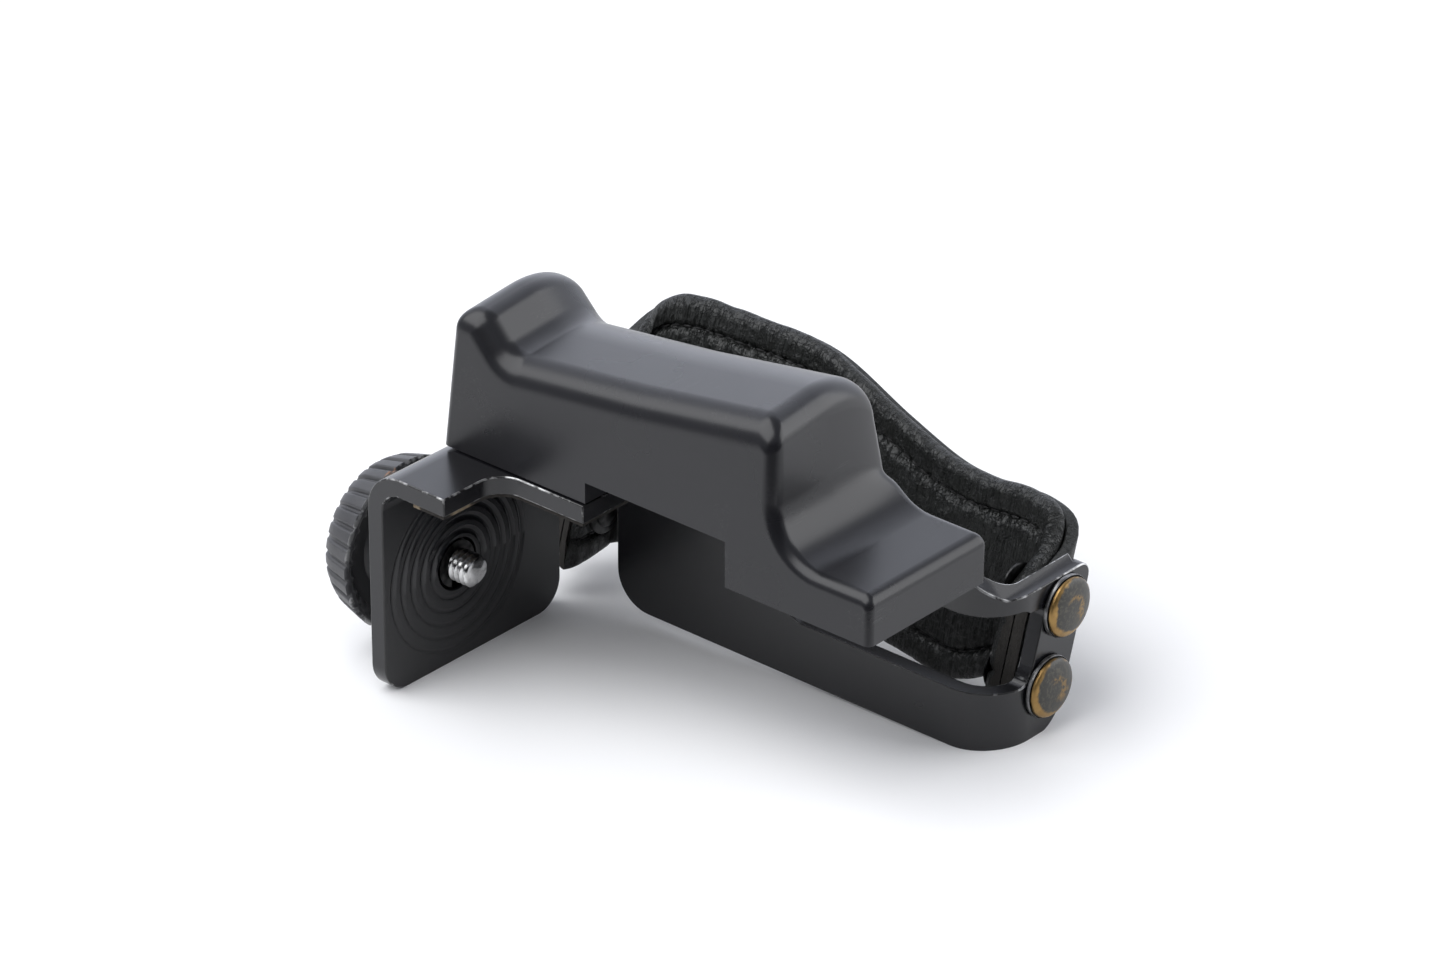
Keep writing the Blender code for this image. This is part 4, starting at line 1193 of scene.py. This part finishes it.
def make_stitches(finishes, line):
    """A row of stitches in each seam groove of the pad."""
    drawn = bmesh.new()
    bmesh.ops.create_uvsphere(drawn, u_segments=8, v_segments=6, radius=STITCH_R)
    bmesh.ops.scale(drawn, vec=(STITCH_STRETCH, 1.0, 1.0), verts=drawn.verts)
    template = as_object("one_stitch", drawn, finishes["thread"], matrix=Matrix.Scale(MM, 4))
    section = pad_section(line[-1].run)
    drawn = bmesh.new()
    seam = EDGE_STEPS.index(SEAM)
    faces = len(EDGE_STEPS) * 2 + PAD_MIDDLE - 1
    for place in (seam, faces - 1 - seam):
        verts = []
        for station in line[6:-6:2]:
            depth, z = section(station)[place]
            verts.append(drawn.verts.new(station.point(depth + STITCH_RISE, z)))
        for pair in zip(verts, verts[1:]):
            drawn.edges.new(pair)
    mesh = bpy.data.meshes.new("pad_stitches")
    bmesh.ops.transform(drawn, matrix=PLACE, verts=drawn.verts)
    drawn.to_mesh(mesh)
    drawn.free()
    stitches = bpy.data.objects.new("pad_stitches", mesh)
    bpy.context.scene.collection.objects.link(stitches)
    grow(
        stitches, stitch_tree(), Template=template, Spacing=STITCH_SPACING * MM,
        Finish=finishes["thread"],
    )
    bpy.data.objects.remove(template, do_unlink=True)
    stitches.data.shade_smooth()
    hand_over(stitches, "grip_frame", "leather_pad")


# ---- rivets and screws -----------------------------------------------------------------------


def make_rivets(finishes, tree):
    """Cap, lip ring, washer and post at each of the four rivets."""
    low, high = local_box("rivet_cap_right_upper")
    face = RIVETS["right_upper"][0]
    base, top, cap_r = low.x - face, high.x - face, (high.y - low.y) / 2
    dome = [(base, 0), (base, cap_r - 0.25), (base + 0.12, cap_r - 0.05), (base + 0.3, cap_r)]
    for k in range(1, DOME_STEPS + 1):
        a = math.radians(90 * k / DOME_STEPS)
        dome.append((base + 0.3 + (top - base - 0.3) * math.sin(a) ** 0.8, cap_r * math.cos(a)))
    low, high = local_box("rivet_ring_right_upper")
    near, far, ring_r = low.x - face, high.x - face, (high.y - low.y) / 2
    lip = [(near, RIVET_HOLE_R + 0.2), (near, ring_r - 0.1), (near + 0.12, ring_r)]
    lip += [(far + 0.12, ring_r), (far + 0.3, ring_r - 0.12), (far + 0.12, ring_r - 0.28)]
    lip += [(far, ring_r - 0.4), (far, RIVET_HOLE_R + 0.2)]
    low, high = local_box("rivet_washer_right_upper")
    inner, outer = low.x - face, high.x - face
    disc = [(inner, RIVET_HOLE_R + 0.2), (inner, WASHER_R - 0.2), (inner + 0.15, WASHER_R)]
    disc += [(outer - 0.15, WASHER_R), (outer, WASHER_R - 0.2), (outer, RIVET_HOLE_R + 0.2)]
    low, high = local_box("rivet_post_right_upper")
    head, end = low.x - face, high.x - face
    post = [(end, 0), (end, POST_R), (head + HEAD_RISE, POST_R), (head + HEAD_RISE, HEAD_R - 0.05)]
    for a in (math.radians(angle) for angle in range(0, 91, 15)):
        post.append((head + HEAD_RISE - HEAD_RISE * math.sin(a), HEAD_R * math.cos(a)))
    for kind, profile, closed, finish, slot, reach in (
        ("cap", dome, False, "cap", "cap_brass", cap_r),
        ("ring", lip, True, "dulled", "bright_steel", ring_r),
        ("washer", disc, True, "blackened", "bright_steel", WASHER_R),
        ("post", post, False, "blackened", "bright_steel", HEAD_R),
    ):
        drawn = turned(profile, 64, closed=closed)
        template = as_object("one_" + kind, drawn, finishes[finish], matrix=Matrix.Scale(MM, 4))
        places = [((x, leaning(y, z), z), (out, 0, 0)) for x, out, y, z in RIVETS.values()]
        group = set_out(f"rivet_{kind}s", template, places, tree, reach * MM, finishes[finish])
        bpy.data.objects.remove(template, do_unlink=True)
        group.data.set_sharp_from_angle(angle=math.radians(40))
        hand_over(group, "grip_frame", slot, *(f"rivet_{kind}_{name}" for name in RIVETS))


def make_frame_screws(finishes, tree):
    """Pan-headed machine screws with a cross slot, through the frame's lug into the grip."""
    boxes = [local_box(f"frame_screw_{i}") for i in (1, 2)]
    low, high = boxes[0]
    length, head_r = high.y - low.y, (high.x - low.x) / 2
    head, shank_r, edge = 1.7, 1.5, 0.9
    profile = [(0, 0), (0, shank_r - 0.3), (0.3, shank_r), (length - head, shank_r)]
    profile += [(length - head, head_r), (length - edge, head_r)]
    for a in (math.radians(angle) for angle in range(10, 91, 10)):
        profile.append((length - edge + edge * math.sin(a), (head_r - edge) + edge * math.cos(a)))
    drawn = turned(profile + [(length, 0)], 48)
    template = as_object("one_screw", drawn, finishes["steel"], matrix=Matrix.Scale(MM, 4))
    slots = []
    for width, reach in ((0.35, 1.6), (1.6, 0.35)):
        slot = prism(box_outline(-width, width, -reach, reach), length - edge, length + 1, "YZ")
        bmesh.ops.scale(slot, vec=(MM, MM, MM), verts=slot.verts)
        bmesh.ops.transform(slot, matrix=PLACE.inverted(), verts=slot.verts)
        slots.append(slot)
    carve(template, *slots)
    places = [(((a.x + b.x) / 2, a.y, (a.z + b.z) / 2), (0, 1, 0)) for a, b in boxes]
    screws = set_out("frame_screws", template, places, tree, head_r * MM, finishes["steel"])
    bpy.data.objects.remove(template, do_unlink=True)
    screws.data.set_sharp_from_angle(angle=math.radians(35))
    hand_over(screws, "grip_frame", "bright_steel", "frame_screw_1", "frame_screw_2")


# ---- CAD pieces that stay --------------------------------------------------------------------


def finish_kept_pieces(finishes):
    """The pieces whose solids are already right only get their finish."""
    kept = {
        "retaining_clip": "blackened", "flange_liner": "cork", "grip_back_cover": "moulding",
        "flange_screw_1": "steel", "flange_screw_2": "steel",
        "flange_insert_1": "brass", "flange_insert_2": "brass",
        "frame_insert_1": "brass", "frame_insert_2": "brass",
    }
    for node, finish in kept.items():
        mesh = frame["nodes"][node].data
        mesh.materials.clear()
        mesh.materials.append(finishes[finish])


# ---- floor, light and camera -----------------------------------------------------------------


CAMERA_PLACE = Vector((666.925, -696.536, 531.609))
CAMERA_AZIMUTH, CAMERA_ELEVATION, CAMERA_ROLL = 40.89, 28.10, 0.26
CAMERA_LENS, CAMERA_SENSOR = 150.10, 36.0


def camera_axes():
    """Right, up and back, as the camera stands."""
    a, e, r = (math.radians(v) for v in (CAMERA_AZIMUTH, CAMERA_ELEVATION, CAMERA_ROLL))
    back = Vector((math.sin(a) * math.cos(e), -math.cos(a) * math.cos(e), math.sin(e)))
    right = Vector((math.cos(a), math.sin(a), 0))
    up = back.cross(right)
    return right * math.cos(r) + up * math.sin(r), up * math.cos(r) - right * math.sin(r), back


def make_camera():
    data = bpy.data.cameras.new("camera")
    data.lens, data.sensor_width = CAMERA_LENS, CAMERA_SENSOR
    data.clip_start, data.clip_end = 0.05, 20.0
    camera = bpy.data.objects.new("camera", data)
    camera.matrix_world = (
        Matrix.Translation(PLACE @ CAMERA_PLACE) @ Matrix(camera_axes()).transposed().to_4x4()
    )
    bpy.context.scene.collection.objects.link(camera)
    bpy.context.scene.camera = camera


def flat_sheet(name, corners, colour, roughness, glow=0.0):
    """A flat four-cornered stage piece; corners in local millimetres."""
    mesh = bpy.data.meshes.new(name)
    mesh.from_pydata([PLACE @ Vector(c) for c in corners], [], [(0, 1, 2, 3)])
    mat = bpy.data.materials.new(name)
    mat.use_nodes = True
    shader = mat.node_tree.nodes["Principled BSDF"]
    shader.inputs["Base Color"].default_value = colour
    shader.inputs["Roughness"].default_value = roughness
    shader.inputs["Specular IOR Level"].default_value = 0.2
    shader.inputs["Emission Color"].default_value = colour
    shader.inputs["Emission Strength"].default_value = glow
    mesh.materials.append(mat)
    obj = bpy.data.objects.new(name, mesh)
    bpy.context.scene.collection.objects.link(obj)
    return obj


def on_floor(x, y, lift=0.0):
    return (x, y, FLOOR_Z + FLOOR_RISE * x + lift)


def reflected_only(obj):
    """A flag that shows only in reflections."""
    obj.visible_camera = False
    obj.visible_diffuse = False
    obj.visible_shadow = False
    obj.visible_transmission = False


def make_stage():
    wide = 6000
    square = ((-wide, -wide), (wide, -wide), (wide, wide), (-wide, wide))
    flat_sheet("floor", [on_floor(x, y) for x, y in square], (0.93, 0.93, 0.93, 1.0), 0.6)
    a = math.radians(CAMERA_AZIMUTH)
    towards, across = Vector((math.sin(a), -math.cos(a))), Vector((math.cos(a), math.sin(a)))
    middle = Vector((45, 20))
    near, far, half = 120, 1500, 1500
    outline = ((near, -half), (near, half), (far, half), (far, -half))
    flag = [middle + towards * d + across * s for d, s in outline]
    ground = flat_sheet("dark_ground", [on_floor(p.x, p.y, 0.5) for p in flag], grey(0.01), 0.9)
    back = [(flag[3], 0), (flag[2], 0), (flag[2], 900), (flag[3], 900)]
    wall = flat_sheet("dark_wall", [(p.x, p.y, z) for p, z in back], grey(0.01), 0.9)
    reflected_only(ground)
    reflected_only(wall)
    ends = [middle - towards * 1500 + across * s for s in (-2500, 2500)]
    back = [(ends[0], -100), (ends[1], -100), (ends[1], 2400), (ends[0], 2400)]
    sheet = [(p.x, p.y, z) for p, z in back]
    backdrop = flat_sheet("backdrop", sheet, (0.92, 0.95, 1.04, 1.0), 0.9, 0.8)
    reflected_only(backdrop)


def area_light(name, place, aim, width, depth, power):
    data = bpy.data.lights.new(name, "AREA")
    data.shape = "RECTANGLE"
    data.size, data.size_y, data.energy = width * MM, depth * MM, power
    data.color = (0.98, 0.985, 1.0)
    light = bpy.data.objects.new(name, data)
    start, end = PLACE @ Vector(place), PLACE @ Vector(aim)
    turn = (end - start).to_track_quat("-Z", "Y").to_matrix().to_4x4()
    light.matrix_world = Matrix.Translation(start) @ turn
    bpy.context.scene.collection.objects.link(light)


def make_light():
    world = bpy.data.worlds.new("studio")
    world.use_nodes = True
    world.node_tree.nodes["Background"].inputs["Color"].default_value = (0.94, 0.97, 1.06, 1.0)
    world.node_tree.nodes["Background"].inputs["Strength"].default_value = 0.36
    bpy.context.scene.world = world
    area_light("overhead", (-250, -450, 820), (45, 20, 10), 1300, 1100, 14.0)
    area_light("behind_right", (720, 760, 420), (45, 20, 20), 1000, 800, 7.0)
    bpy.context.scene.view_settings.view_transform = "Standard"


def main():
    finishes = make_finishes()
    make_camera()
    make_stage()
    make_light()
    make_bracket(finishes)
    make_mount_screw(finishes)
    make_knob(finishes)
    make_hub(finishes)
    make_grip_body(finishes)
    make_frame(finishes)
    make_belt(finishes)
    line = make_pad(finishes)
    make_stitches(finishes, line)
    set_on_points = set_out_tree()
    make_rivets(finishes, set_on_points)
    make_frame_screws(finishes, set_on_points)
    finish_kept_pieces(finishes)


main()
